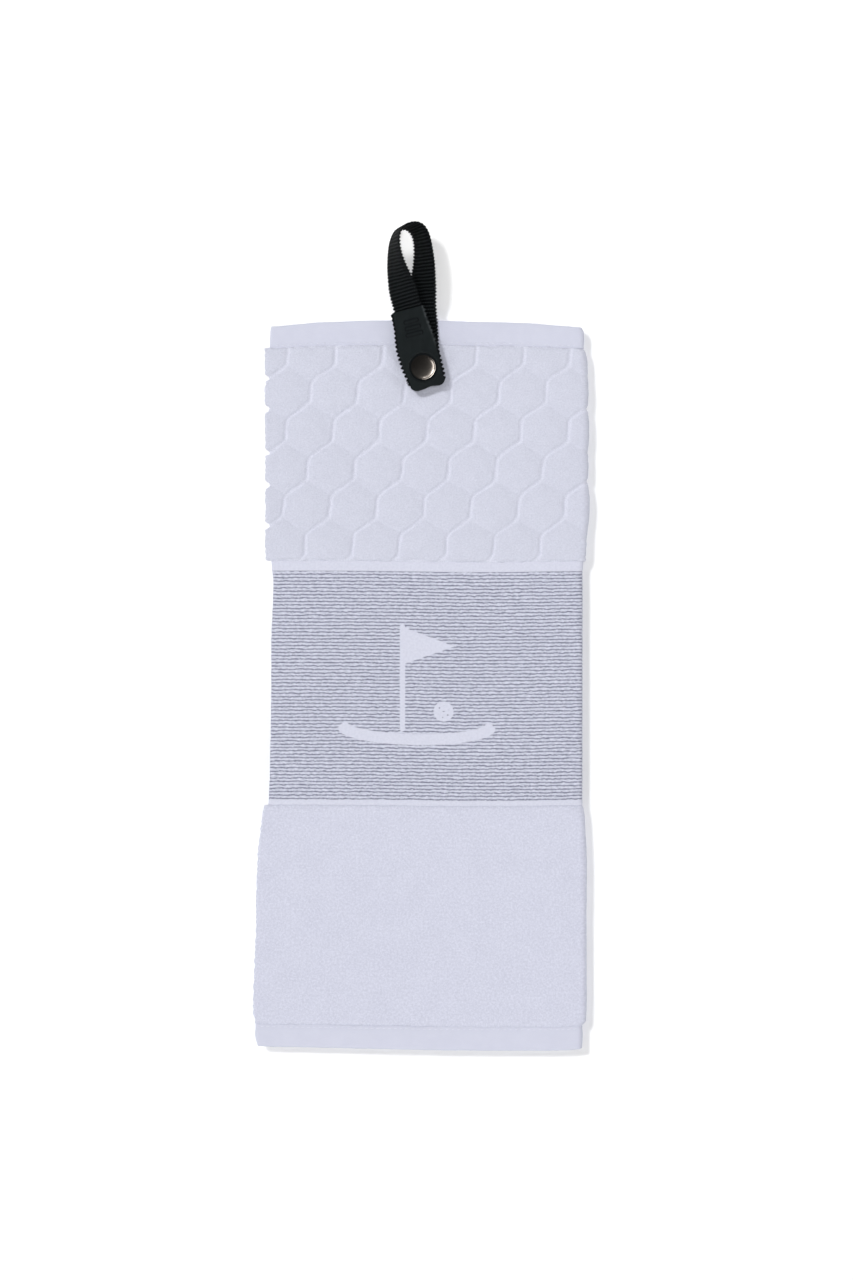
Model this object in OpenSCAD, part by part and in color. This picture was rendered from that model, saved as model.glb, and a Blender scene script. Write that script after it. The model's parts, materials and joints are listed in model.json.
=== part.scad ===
// Tri-fold golf towel with a snap-fastened hanging strap.
// Hanging frame: origin at the inside crown of the strap loop, +Z up, +X right, front towards -Y.
// The towel is folded in thirds like an accordion: front third, middle third, back third.

/* [Towel] */
// Length of the towel, top edge to bottom edge
towel_length = 406.4; // [380:1:430]
// Distance from the towel's centre line to the right fold
fold_right = 86; // [80:0.5:92]
// Distance from the towel's centre line to the left fold
fold_left = 84.5; // [80:0.5:86]
// Distance from the towel's centre line to the front third's free edge
free_edge = 87.2; // [86.5:0.1:92]
// Thickness of the terry pile cloth
terry_thick = 3.0; // [2:0.1:3]
// Thickness of the flat woven scrub band
band_thick = 1.8; // [1.2:0.1:2.2]
// Thickness of a folded and sewn hem
hem_thick = 2.2; // [1.6:0.1:2.4]
// Air gap between two folded layers
layer_gap = 0.4; // [0.3:0.05:0.6]
// Height of the sewn hem at the top and the bottom
hem_height = 13.2; // [10:0.2:16]
// Height of the honeycomb terry field
honeycomb_height = 120.6; // [100:0.2:125]
// Height of the scrub band, with its white borders
band_height = 136.5; // [110:0.2:140]

/* [Strap] */
// Width of the webbing
web_width = 19; // [18.5:0.1:19.5]
// Thickness of the webbing
web_thick = 1.5; // [1.2:0.1:1.5]
// Lean of the closed tab from the vertical, in degrees
tab_lean = 14.7; // [10:0.1:18]
// Width of the rubber tab over its scallops
tab_width = 21.4; // [20:0.1:22]
// Length of the rubber tab above the snap
tab_up = 33.4; // [30:0.1:34]
// Length of the rubber tab below the snap
tab_down = 11.4; // [10:0.1:13]
// Drop from the inside of the loop's crown to the snap
snap_drop = 79.5; // [78:0.1:82]

/* [Snap] */
// Radius of the snap cap
cap_r = 6.9; // [6.2:0.1:7.1]
// Radius of the round recess in the rubber tab
recess_r = 7.95; // [7.6:0.05:8.2]
// Radius of the snap socket
socket_r = 5.5; // [5:0.1:5.8]

/* [Hidden] */

$fn = 48;

hem_color = "#e4e6f2";
terry_color = "#e9ebf6";
band_color = "#b9bccb";
stitch_color = "#f4f4fb";
web_color = "#15181a";
metal_color = "#8d8b88";

// Snap centre
snap_x = 8.3;
snap_z = -snap_drop;

module at_snap() { translate([snap_x, 0, snap_z]) children(); }
// Frame of the leaning tab: x across it, z along it
module at_tab() { at_snap() rotate([0, -tab_lean, 0]) children(); }
// Turns the child's z towards the back (+Y), starting at y
module along_rivet(y = 0) { translate([0, y, 0]) rotate([-90, 0, 0]) children(); }

// ---------- cloth ----------

towel_x = snap_x + 2.4;         // centre line of the folded towel
towel_top = snap_z + 25.9;
honeycomb_top = towel_top - hem_height;
band_top = honeycomb_top - honeycomb_height;
plain_top = band_top - band_height;
towel_bottom = towel_top - towel_length;
bottom_hem_top = towel_bottom + hem_height - 0.3;
seam = 0.05;                    // parting between two weave zones

// Weave zones: [upper z, lower z, thickness]
top_hem = [towel_top, honeycomb_top, hem_thick];
honeycomb_terry = [honeycomb_top, band_top, terry_thick];
scrub_band = [band_top, plain_top, band_thick];
plain_terry = [plain_top, bottom_hem_top, terry_thick];
bottom_hem = [bottom_hem_top, towel_bottom, hem_thick];

// Thirds: [left x, right x] from the centre line, then y of the layer's front
layer_pitch = terry_thick + layer_gap;
fold_inset = 0.3;               // cloth stops this far short of a fold line
right_edge = fold_right - fold_inset;
left_edge = -fold_left + fold_inset;
front_third = [-free_edge, right_edge, 0];
middle_third = [left_edge, right_edge, layer_pitch];
back_third = [left_edge, fold_right - 1, 2 * layer_pitch];

// How far the front third's free edge spreads further left, zone by zone
honeycomb_spread = 1.5;
plain_spread = 8.5;
bottom_hem_spread = 8;

stitch_pitch = 4.4;
stitch_size = [2.9, 0.3, 0.5];
stitch_inset = 3;               // from the side edges of the cloth
stitch_from_hem = 1.2;          // into the terry, from the hem's border
stitch_stand_off = 0.32;        // stitch front, ahead of the hem's front

// Plan section of a cloth panel: flat slab with rounded long edges
module panel_section(left, right, front, thick) {
    r = thick / 2;
    translate([left + r, front]) square([right - left - 2 * r, 2 * r]);
    for (x = [left + r, right - r]) translate([x, front + r]) circle(r);
}

// One weave zone of one third, centred in the depth of its layer
module cloth(third, zone, spread = 0) {
    upper = zone[0];
    lower = zone[1];
    thick = zone[2];
    front = third[2] + (terry_thick - thick) / 2;
    translate([towel_x, 0, lower + seam / 2])
        linear_extrude(upper - lower - seam)
            panel_section(third[0] - spread, third[1], front, thick);
}

// A row of lock-stitch dashes at height z
module stitch_row(third, z, spread = 0) {
    left = third[0] - spread;
    last = floor((third[1] - left - 2 * stitch_inset) / stitch_pitch);
    y = third[2] + (terry_thick - hem_thick) / 2 - stitch_stand_off;
    for (i = [0:last])
        translate([towel_x + left + stitch_inset + i * stitch_pitch, y, z - stitch_size[2] / 2])
            cube(stitch_size);
}

// The rows below the top hem and above... the bottom hem's border line
module stitch_rows(third, bottom_spread = 0) {
    stitch_row(third, honeycomb_top + stitch_from_hem);
    stitch_row(third, bottom_hem_top - stitch_from_hem, bottom_spread);
}

module front_top_hem() { color(hem_color) cloth(front_third, top_hem); }
module front_honeycomb_terry() {
    color(terry_color) difference() {
        cloth(front_third, honeycomb_terry, honeycomb_spread);
        // hole for the rivet post, and the pocket for its head and washer
        at_snap() along_rivet(-1) cylinder(r = 2.0, h = 8);
        at_snap() along_rivet(1.6) cylinder(r = 6.0, h = 8);
    }
}
module front_scrub_band() { color(band_color) cloth(front_third, scrub_band); }
module front_plain_terry() { color(terry_color) cloth(front_third, plain_terry, plain_spread); }
module front_bottom_hem() { color(hem_color) cloth(front_third, bottom_hem, bottom_hem_spread); }
module front_hem_stitches() { color(stitch_color) stitch_rows(front_third, bottom_hem_spread); }

module middle_top_hem() { color(hem_color) cloth(middle_third, top_hem); }
module middle_honeycomb_terry() { color(terry_color) cloth(middle_third, honeycomb_terry); }
module middle_scrub_band() { color(band_color) cloth(middle_third, scrub_band); }
module middle_plain_terry() { color(terry_color) cloth(middle_third, plain_terry); }
module middle_bottom_hem() { color(hem_color) cloth(middle_third, bottom_hem); }
module middle_hem_stitches() { color(stitch_color) stitch_rows(middle_third); }

module back_top_hem() { color(hem_color) cloth(back_third, top_hem); }
module back_honeycomb_terry() { color(terry_color) cloth(back_third, honeycomb_terry); }
module back_scrub_band() { color(band_color) cloth(back_third, scrub_band); }
module back_plain_terry() { color(terry_color) cloth(back_third, plain_terry); }
module back_bottom_hem() { color(hem_color) cloth(back_third, bottom_hem); }
module back_hem_stitches() { color(stitch_color) stitch_rows(back_third); }

// ---------- strap ----------

fixed_y = -0.85;                // middle plane of the fixed strand
free_y = -5.05;                 // middle plane of the free strand
fixed_lean = 3.5;               // lean of the fixed strand, in degrees
crease = 36.5;                  // where the strap bends when the snap opens, along the tab
crease_gap = 0.3;               // webbing stops this far either side of the crease
half_width = web_width / 2 - 0.02;

// Station on a straight strand, at a distance along it from the snap
function strand_station(along, lean, y) =
    [-sin(lean) * along, y, cos(lean) * along, half_width * cos(lean), half_width * sin(lean)];

// Ribbon from the free strand, over the crown, to the fixed strand, from the snap centre:
// [centre x, y, z, half width seen from the front in x, in z]
stations = [
    for (rise = [crease_gap, 2.4, 4.4]) strand_station(crease + rise, tab_lean, free_y),
    [-12.4, -4.6, 46.5, 7.6, 1.4],
    [-14.0, -3.8, 53.0, 6.0, 0.7],
    [-15.2, -3.0, 58.0, 5.0, 0.3],
    [-16.1, -2.0, 64.0, 3.7, 0.1],
    [-16.2, -1.2, 70.0, 2.9, 0.1],
    [-15.0, -0.6, 75.0, 2.5, 0.3],
    [-12.2, -0.2, 78.8, 3.2, 0.9],
    [ -8.3,  0.0, 80.3, 4.2, 1.1],
    [ -4.5,  0.0, 78.8, 4.5, 0.8],
    [ -1.9,  0.0, 75.0, 4.6, 0.4],
    [ -0.4, -0.1, 69.5, 4.9, 0.1],
    [  0.2, -0.3, 63.0, 5.5, 0.0],
    [  0.3, -0.5, 56.5, 6.1, 0.0],
    [ -0.2, -0.7, 50.0, 7.0, 0.0],
    [ -1.2, fixed_y, 43.0, 8.4, 0.3],
    for (along = [36, 32]) strand_station(along, fixed_lean, fixed_y)
];
last_station = len(stations) - 1;
steps = 3;                      // ribbon sections per station

function station(i) = stations[max(0, min(last_station, i))];
function catmull_rom(a, b, c, d, t) =
    0.5 * ((2 * b) + (c - a) * t + (2 * a - 5 * b + 4 * c - d) * t * t
        + (3 * b - a - 3 * c + d) * t * t * t);
function ribbon_at(s) =
    let (i = min(last_station - 1, floor(s)))
    catmull_rom(station(i - 1), station(i), station(i + 1), station(i + 2), s - i);

// Smoothed stations, then the straight fixed strand down past the snap
ribbon = [
    for (k = [0:last_station * steps]) ribbon_at(k / steps),
    for (along = [14, -8]) strand_station(along, fixed_lean, fixed_y)
];
last_section = len(ribbon) - 1;

function unit(v) = v / norm(v);
function centre(k) =
    let (section = ribbon[max(0, min(last_section, k))])
    [section[0], section[1], section[2]];
// Half-width vector: what is not seen from the front runs towards the viewer
function across(k) =
    let (x = ribbon[k][3], z = ribbon[k][4])
    [x, -sqrt(max(0, half_width * half_width - x * x - z * z)), z];
function normal(k) = unit(cross(centre(k + 1) - centre(k - 1), across(k)));

// Four corners per section, joined by triangles, with a cap at each end
ribbon_points = [
    for (k = [0:last_section])
        let (c = centre(k), side = across(k), lift = normal(k) * web_thick / 2)
        each [c + side + lift, c - side + lift, c - side - lift, c + side - lift]
];
ribbon_faces = [
    [0, 1, 2, 3],
    for (k = [0:last_section - 1], j = [0:3])
        let (a = 4 * k + j, b = 4 * k + (j + 1) % 4)
        each [[a, a + 4, b], [b, a + 4, b + 4]],
    [for (j = [3:-1:0]) 4 * last_section + j]
];

// Loop of webbing: from the bend above the tab, over the crown, down to the riveted end
module strap_webbing() {
    color(web_color) at_snap() difference() {
        polyhedron(points = ribbon_points, faces = ribbon_faces, convexity = 6);
        along_rivet(-3) cylinder(r = 1.7, h = 5);
    }
}

cap_hole_r = 1.4;               // hole for the cap's post, in the free end and the tab

// Free end of the webbing, sewn behind the rubber tab
module strap_free_end() {
    bottom = -tab_down + 0.8;
    color(web_color) at_tab() difference() {
        translate([-web_width / 2, free_y - web_thick / 2, bottom])
            cube([web_width, web_thick, crease - crease_gap - bottom]);
        along_rivet(-7) cylinder(r = cap_hole_r, h = 4);
    }
}

tab_front = -7.8;
tab_back = -5.9;

// Outline of the tab, larger corners at the bottom, scallops down both long sides
module tab_outline() {
    bottom_r = 3.6;
    top_r = 0.8;
    half = tab_width / 2;
    scallop_pitch = 2.35;
    difference() {
        union() {
            translate([-half + bottom_r, -tab_down])
                square([tab_width - 2 * bottom_r, 2 * bottom_r]);
            translate([-half, -tab_down + bottom_r])
                square([tab_width, tab_up + tab_down - bottom_r - top_r]);
            translate([-half + top_r, tab_up - 2 * top_r])
                square([tab_width - 2 * top_r, 2 * top_r]);
            for (side = [-1, 1]) {
                translate([side * (half - bottom_r), -tab_down + bottom_r]) circle(bottom_r);
                translate([side * (half - top_r), tab_up - top_r]) circle(top_r);
            }
        }
        for (side = [-1, 1], y = [-tab_down + bottom_r + 1.2:scallop_pitch:tab_up - 1.5])
            translate([side * (half + 0.55), y]) circle(r = 0.9, $fn = 24);
    }
}

// Moulded rubber pull tab with the round recess for the cap and three grip bars
module rubber_tab() {
    bar_size = [9.2, 0.6, 1.4];
    bar_pitch = 3.6;
    lowest_bar = 18.5;
    bar_proud = 0.35;
    recess_depth = 1;
    color("#23272a") at_tab() difference() {
        union() {
            translate([0, tab_back, 0]) rotate([90, 0, 0])
                linear_extrude(tab_back - tab_front) tab_outline();
            for (k = [0:2])
                translate([-bar_size[0] / 2, tab_front - bar_proud, lowest_bar + bar_pitch * k])
                    cube(bar_size);
        }
        along_rivet(tab_front - 1) cylinder(r = recess_r, h = recess_depth + 1);
        along_rivet(-9) cylinder(r = cap_hole_r, h = 6);
    }
}

// ---------- snap fastener, all parts turned about the rivet axis ----------

// Domed cap on the front with the post that rivets the socket behind the tab
module snap_cap() {
    dome_depth = 1.25;
    rim_angle = 75;             // angle of the dome's arc that scales to the rim
    rim_front = 1.3;
    rim_back = 1.65;
    color("#4a4744") at_snap() along_rivet(-8.5) union() {
        rotate_extrude() polygon([
            [0, 0],
            for (a = [10:10:70]) [
                cap_r * sin(a) / sin(rim_angle),
                dome_depth * (1 - cos(a)) / (1 - cos(rim_angle))
            ],
            [cap_r, rim_front], [cap_r, rim_back], [0, rim_back]
        ]);
        translate([0, 0, 1.5]) cylinder(r = 1.2, h = 3.1);
    }
}

// Socket: a cup open to the back, grooved for the spring, with a hole for the cap's post
module snap_socket() {
    color(metal_color) at_snap() along_rivet(-4.25) difference() {
        cylinder(r = socket_r, h = 1.8);
        translate([0, 0, 0.4]) cylinder(r = 3.1, h = 3);
        translate([0, 0, 0.9]) cylinder(r = 3.6, h = 0.5);
        translate([0, 0, -1]) cylinder(r = 1.25, h = 3);
    }
}

// Ring spring in the groove of the socket
module socket_spring() {
    color("#b8b6b0") at_snap() along_rivet(-3.1)
        rotate_extrude() translate([3.3, 0]) circle(r = 0.2, $fn = 20);
}

// Half section of the stud, bulged head to base flange: [radius, depth behind its front]
stud_profile = [
    [0, 0], [2.3, 0], [2.7, 0.35], [2.7, 0.75], [2.25, 1.15],
    [2.25, 1.45], [4.4, 1.45], [4.4, 1.95], [0, 1.95]
];

// Stud on the fixed strand, bored from the back for the rivet post
module snap_stud() {
    color(metal_color) at_snap() along_rivet(-3.6) difference() {
        rotate_extrude() polygon(stud_profile);
        translate([0, 0, 0.5]) cylinder(r = 1.5, h = 3);
    }
}

// Rivet post through the webbing and the cloth, with its head at the back
module snap_post() {
    color(metal_color) at_snap() along_rivet() union() {
        translate([0, 0, -3.05]) cylinder(r = 1.49, h = 5.3);
        translate([0, 0, 2.1]) cylinder(r = 4.2, h = 0.6);
    }
}

// Washer in front of the rivet post's head
module backing_washer() {
    color(metal_color) at_snap() along_rivet(1.66) difference() {
        cylinder(r = 5.2, h = 0.4);
        translate([0, 0, -1]) cylinder(r = 1.6, h = 3);
    }
}

strap_webbing();
snap_stud();
snap_post();
backing_washer();
strap_free_end();
rubber_tab();
snap_cap();
snap_socket();
socket_spring();
front_top_hem();
front_honeycomb_terry();
front_scrub_band();
front_plain_terry();
front_bottom_hem();
front_hem_stitches();
middle_top_hem();
middle_honeycomb_terry();
middle_scrub_band();
middle_plain_terry();
middle_bottom_hem();
middle_hem_stitches();
back_top_hem();
back_honeycomb_terry();
back_scrub_band();
back_plain_terry();
back_bottom_hem();
back_hem_stitches();
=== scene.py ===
"""A golf towel folded in thirds, with a webbing strap, a rubber pull tab and a snap.

It hangs upright: X runs across it, Z up it, and its front faces -Y. The front third lies
foremost; the cloth turns back at the right fold (+X), then forward again at the left fold.
Lengths are in mm unless said otherwise, and become metres when a mesh is made.
"""
import json
from math import cos, hypot, pi, radians, sin, sqrt
from typing import Any, Callable, NamedTuple

import bmesh
import bpy
import numpy as np
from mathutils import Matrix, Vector


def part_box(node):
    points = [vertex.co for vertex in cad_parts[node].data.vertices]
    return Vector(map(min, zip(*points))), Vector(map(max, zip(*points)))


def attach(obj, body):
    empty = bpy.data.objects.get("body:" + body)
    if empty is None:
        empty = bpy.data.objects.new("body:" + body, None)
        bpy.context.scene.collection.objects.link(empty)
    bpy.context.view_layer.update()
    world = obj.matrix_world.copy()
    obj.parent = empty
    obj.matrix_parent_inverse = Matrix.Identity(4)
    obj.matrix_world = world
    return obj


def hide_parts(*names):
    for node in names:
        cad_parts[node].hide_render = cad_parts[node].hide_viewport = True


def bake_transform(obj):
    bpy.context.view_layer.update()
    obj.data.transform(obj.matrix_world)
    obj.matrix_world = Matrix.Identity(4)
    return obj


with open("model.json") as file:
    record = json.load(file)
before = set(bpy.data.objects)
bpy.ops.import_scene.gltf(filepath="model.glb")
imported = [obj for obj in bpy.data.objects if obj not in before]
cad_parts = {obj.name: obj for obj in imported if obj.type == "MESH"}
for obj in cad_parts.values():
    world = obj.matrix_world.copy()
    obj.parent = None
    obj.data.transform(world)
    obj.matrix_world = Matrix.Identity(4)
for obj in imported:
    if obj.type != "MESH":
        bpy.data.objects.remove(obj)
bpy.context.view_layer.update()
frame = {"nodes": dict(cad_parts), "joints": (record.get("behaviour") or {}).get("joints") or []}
MM = 0.001


# ------------------------------------------------------------ places taken from the frame

def node_box(node):
    low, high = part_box(node)
    return np.array(low) / MM, np.array(high) / MM


def joint_x(name):
    return next(j for j in frame["joints"] if j["name"] == name)["pos_m"][0] / MM


cap_low, cap_high = node_box("snap_cap")
SNAP_X = (cap_low[0] + cap_high[0]) / 2
SNAP_Z = (cap_low[2] + cap_high[2]) / 2
CAP_R = (cap_high[0] - cap_low[0]) / 2
MID_X = SNAP_X + 2.4                 # centre line of the towel; towel x is counted from it
FOLD_RIGHT = joint_x("right_fold") - MID_X
FOLD_LEFT = joint_x("left_fold") - MID_X

# upper limits of the five weave zones, and the towel's lower edge
Z_TOP = node_box("front_top_hem")[1][2]
Z_HONEYCOMB = node_box("front_honeycomb_terry")[1][2]
Z_BAND = node_box("front_scrub_band")[1][2]
Z_PLAIN = node_box("front_plain_terry")[1][2]
Z_HEM = node_box("front_bottom_hem")[1][2]
Z_BOTTOM = node_box("front_bottom_hem")[0][2]

front_low, front_high = node_box("front_plain_terry")
TERRY = front_high[1] - front_low[1]                            # thickness of the pile cloth
PITCH = node_box("middle_plain_terry")[0][1] - front_low[1]     # from one layer to the next
FOLD_R = PITCH / 2                                              # mid-surface radius of a fold
ARC = pi * FOLD_R
HEM_THICK = 2.2
BAND_THICK = 1.8
TABLE_Y = 3 * PITCH + 1.0


# ------------------------------------------------------------ helpers

def smooth(start, end, x):
    t = np.clip((np.asarray(x, float) - start) / (end - start), 0, 1)
    return t * t * (3 - 2 * t)


def quarter_round(inset, radius):
    """Height, 0 to 1, of a rounded edge at the distance inset from it."""
    return np.sqrt(np.clip(1 - (1 - np.clip(inset / radius, 0, 1)) ** 2, 0, 1))


def noise(x, y, seed):
    """Smooth value noise in -1..1, one lattice cell per unit."""
    x, y = np.asarray(x, float), np.asarray(y, float)
    cell_x, cell_y = np.floor(x), np.floor(y)
    fade_x, fade_y = x - cell_x, y - cell_y
    fade_x = fade_x * fade_x * (3 - 2 * fade_x)
    fade_y = fade_y * fade_y * (3 - 2 * fade_y)

    def corner(right, up):
        i, j = (cell_x + right).astype(np.int64), (cell_y + up).astype(np.int64)
        n = (i * 374761393 + j * 668265263 + seed * 1442695041) & 0x7FFFFFFF
        n = ((n ^ (n >> 13)) * 1274126177) & 0x7FFFFFFF
        n = ((n ^ (n >> 15)) * 461845907) & 0x7FFFFFFF
        return ((n ^ (n >> 16)) & 0xFFFF) / 32767.5 - 1
    near = corner(0, 0) * (1 - fade_x) + corner(1, 0) * fade_x
    far = corner(0, 1) * (1 - fade_x) + corner(1, 1) * fade_x
    return near * (1 - fade_y) + far * fade_y


def segment_distance(x, z, start, end):
    run_x, run_z = end[0] - start[0], end[1] - start[1]
    along = (x - start[0]) * run_x + (z - start[1]) * run_z
    t = np.clip(along / (run_x * run_x + run_z * run_z), 0, 1)
    return np.hypot(x - start[0] - t * run_x, z - start[1] - t * run_z)


def mesh_object(name, points, faces, attributes=None, flat=False, outward=False):
    """Object from points in mm; outward makes all normals face out."""
    mesh = bpy.data.meshes.new(name)
    mesh.from_pydata((np.asarray(points) * MM).tolist(), [], faces)
    for key, data in (attributes or {}).items():
        data = np.asarray(data, np.float32)
        if data.ndim == 2:
            layer = mesh.attributes.new(key, "FLOAT_VECTOR", "POINT")
            layer.data.foreach_set("vector", data.ravel())
        else:
            layer = mesh.attributes.new(key, "FLOAT", "POINT")
            layer.data.foreach_set("value", data)
    mesh.polygons.foreach_set("use_smooth", [not flat] * len(mesh.polygons))
    mesh.update()
    if outward:
        bm = bmesh.new()
        bm.from_mesh(mesh)
        bmesh.ops.recalc_face_normals(bm, faces=bm.faces)
        bm.to_mesh(mesh)
        bm.free()
    ob = bpy.data.objects.new(name, mesh)
    bpy.context.scene.collection.objects.link(ob)
    return ob


def dress(ob, material):
    ob.data.materials.append(material)


def grid_quads(rows, columns, start=0, flip=False):
    i, j = np.meshgrid(np.arange(rows - 1), np.arange(columns - 1), indexing="ij")
    first = start + i * columns + j
    quads = np.stack([first, first + 1, first + columns + 1, first + columns], -1)
    quads = quads.reshape(-1, 4)
    return (quads[:, ::-1] if flip else quads).tolist()


def strip_between(line_a, place_a, line_b, place_b):
    """Triangles that join two open polylines with different point counts."""
    triangles, i, j = [], 0, 0
    last_a, last_b = len(line_a) - 1, len(line_b) - 1
    while i < last_a or j < last_b:
        if j == last_b or (i < last_a and place_a[i + 1] <= place_b[j + 1]):
            triangles.append([line_a[i], line_a[i + 1], line_b[j]])
            i += 1
        else:
            triangles.append([line_a[i], line_b[j + 1], line_b[j]])
            j += 1
    return triangles


# ------------------------------------------------------------ the towel's outline

# depth below the top edge, x of the left free edge
LEFT_EDGE = np.array([
    (0, -87.2), (3, -87.9), (9, -88.1), (13.1, -88.1), (13.3, -88.4), (40, -88.4),
    (80, -88.2), (133.7, -88.2), (133.9, -87.2), (139, -86.9), (146.5, -86.1), (178, -87.4),
    (200, -87.4), (217, -87.5), (256, -88.3), (267, -88.8), (270.2, -89.0), (270.4, -91.2),
    (278, -92.6), (295, -94.8), (315, -95.6), (340, -96.0), (379, -97.5), (388, -97.7),
    (391, -96.6), (393.4, -96.3), (400, -96.4), (403, -96.1), (406.4, -95.0), (409, -94.6),
]).T
# depth below the top edge, x of the right fold's outside
RIGHT_EDGE = np.array([
    (0, 85.8), (1.2, 86.8), (2.6, 87.6), (8, 87.7), (13.1, 87.6), (13.3, 87.8), (16, 88.6),
    (30.7, 90.2), (60, 90.0), (100, 90.4), (133.7, 89.6), (133.9, 87.3), (139, 86.8),
    (200, 86.9), (267, 86.8), (270.2, 86.8), (270.4, 87.2), (278, 88.4), (300, 89.3),
    (380, 89.4), (391, 89.0), (393.4, 86.9), (400, 86.8), (404.5, 86.6), (406.4, 86.0),
    (409, 85.4),
]).T
# x, rise of the top edge
TOP_EDGE = np.array([
    (-92, -2.7), (-87, -2.5), (-82, -2.2), (-71, -1.1), (-60, -0.1), (-49, 0.2), (-38, 0.7),
    (-27, 0.9), (0, 1.1), (12.6, 0.7), (24, 0.2), (40, -0.1), (57, -0.6), (68.5, -1.6),
    (80, -2.5), (84, -2.8), (92, -2.8),
]).T
# x, rise of the bottom edge
BOTTOM_EDGE = np.array([
    (-98, 2.4), (-94, 1.4), (-86, 0.9), (-76, 0.8), (-60, 0.5), (-49, 0.3), (-38, 0.0),
    (-27, -0.2), (12.6, -1.1), (40, -1.2), (68.5, -1.2), (80, -0.9), (86.4, -0.2), (92, 0.0),
]).T


def below(z):
    return Z_TOP - z


def warp_z(x, z):
    """The top and bottom edges are not straight; the shift in z fades away from each."""
    depth = below(z)
    top = np.interp(x, *TOP_EDGE) * (1 - smooth(0, 26, depth))
    bottom = np.interp(x, *BOTTOM_EDGE) * smooth(372, 406, depth)
    between = smooth(60, 130, depth) * (1 - smooth(300, 390, depth))
    middle = (0.30 - 0.85 * np.exp(-((x - 30) / 50.0) ** 2)) * between
    return z + top + bottom + middle


def front_wave(x, z):
    """Slow undulation of the open front face, level round the snap and near the right fold."""
    swell = (0.34 * np.sin(x / 37.0 + z / 95.0 + 0.4) * np.sin(z / 61.0 + 1.1)
             + 0.18 * np.sin(x / 17.0 - z / 48.0) * np.sin(z / 33.0)
             + 0.10 * noise(x / 21.0, z / 24.0, 7))
    strap = np.exp(-(((x - (SNAP_X - MID_X)) / 22.0) ** 2 + ((z - SNAP_Z) / 30.0) ** 2))
    return swell * (1 - strap) * (1 - smooth(74.0, 84.0, x))


# ------------------------------------------------------------ patterns in the weave
# "along" is the unrolled place across the cloth: the towel's x on the front third, counted
# on round both folds.

CELL_W = 26.3                        # width of a honeycomb cell
CELL_ROW = 21.35                     # height of a row of cells
CELL_SQUASH = 0.936
CELL_X, CELL_DEPTH = 52.0, 39.5      # origin of the cell pattern
LINE_STEP = 13.9                     # sideways step of the stepped lines from row to row
HONEYCOMB_PILE = (13.2, 133.8)       # depths between which each pile stands
PLAIN_PILE = (270.3, 393.5)
BAND_PITCH = 1.90                    # rib pitch of the scrub band
BAND_TOP, BAND_END = 139.4, 267.3    # depths of the ribbed part, inside its white borders
NO_MARK = -9.0                       # emblem distance where there is no emblem


def inside_span(depth, span):
    return np.minimum(depth - span[0], span[1] - depth)


def cell_sides(along, z):
    """Distances from the three pairs of sides of the honeycomb cell: upright, rising to
    the right, falling to the right."""
    depth = below(z) - CELL_DEPTH
    x = along + CELL_X + 0.75 * depth / CELL_ROW
    x = x + 0.7 * noise(along / 15.0, z / 15.0, 3) + 0.22 * noise(along / 3.1, z / 3.1, 5)
    y = depth / CELL_SQUASH
    y = y + 0.7 * noise(along / 15.0, z / 15.0, 4) + 0.22 * noise(along / 3.1, z / 3.1, 6)
    row = CELL_W * sqrt(3) / 2
    cells = []
    for step in (0, 1):
        k = np.floor(y / row) + step
        offset = np.where(np.mod(k, 2) == 1, -CELL_W / 2, 0.0)
        i = np.round((x - offset) / CELL_W)
        cell_x, cell_y = x - offset - i * CELL_W, y - k * row
        cells.append(np.stack([
            CELL_W / 2 - np.abs(cell_x + 0.09 * cell_y),
            CELL_W / 2 - np.abs(cell_x * 0.5 + cell_y * 0.8660254),
            CELL_W / 2 - np.abs(cell_x * 0.5 - cell_y * 0.8660254)]))
    upper, lower = cells
    return np.where(lower.min(0) > upper.min(0), lower, upper)


def cell_edge_distance(along, z):
    return np.maximum(cell_sides(along, z).min(0), 0.0)


def stepped_line_distance(along, z):
    """Distance to the smooth stepped lines that stand out of the honeycomb: upright beside
    each row of cells, then over to the left on the way down to the next."""
    tilt, reach = 0.12, 0.30
    t = (below(z) - CELL_DEPTH) / CELL_ROW + 0.025 * noise(along / 11.0, z / 11.0, 15)
    k = np.floor(t)
    part = t - k
    q = np.clip((part - 0.5 + reach) / (2 * reach), 0, 1)
    stair = k + (1 - tilt) * (q * q * (3 - 2 * q)) + tilt * part
    turning = (part > 0.5 - reach) & (part < 0.5 + reach)
    slope = (1 - tilt) * 6 * q * (1 - q) / (2 * reach) * turning + tilt
    slope = slope * LINE_STEP / CELL_ROW
    x = (along + CELL_X - CELL_W / 2 + LINE_STEP * stair
         + 0.45 * noise(along / 15.0, z / 15.0, 3) + 0.22 * noise(along / 2.7, z / 2.7, 5))
    x = np.mod(x + CELL_W / 2, CELL_W) - CELL_W / 2
    return np.abs(x) / np.sqrt(1 + slope * slope)


def rib_phase(along, z):
    """Place among the scrub band's ribs, in whole pitches, with a small zigzag."""
    depth = below(z)
    rib = np.floor((depth - BAND_TOP) / BAND_PITCH + 0.5)
    zigzag = (0.125 * noise(along / 1.75, rib * 3.17, 11)
              + 0.07 * noise(along / 4.2, depth / 2.6, 12)
              + 0.05 * noise(along / 19.0, depth / 9.0, 13))
    return (depth - BAND_TOP) / BAND_PITCH + zigzag


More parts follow.
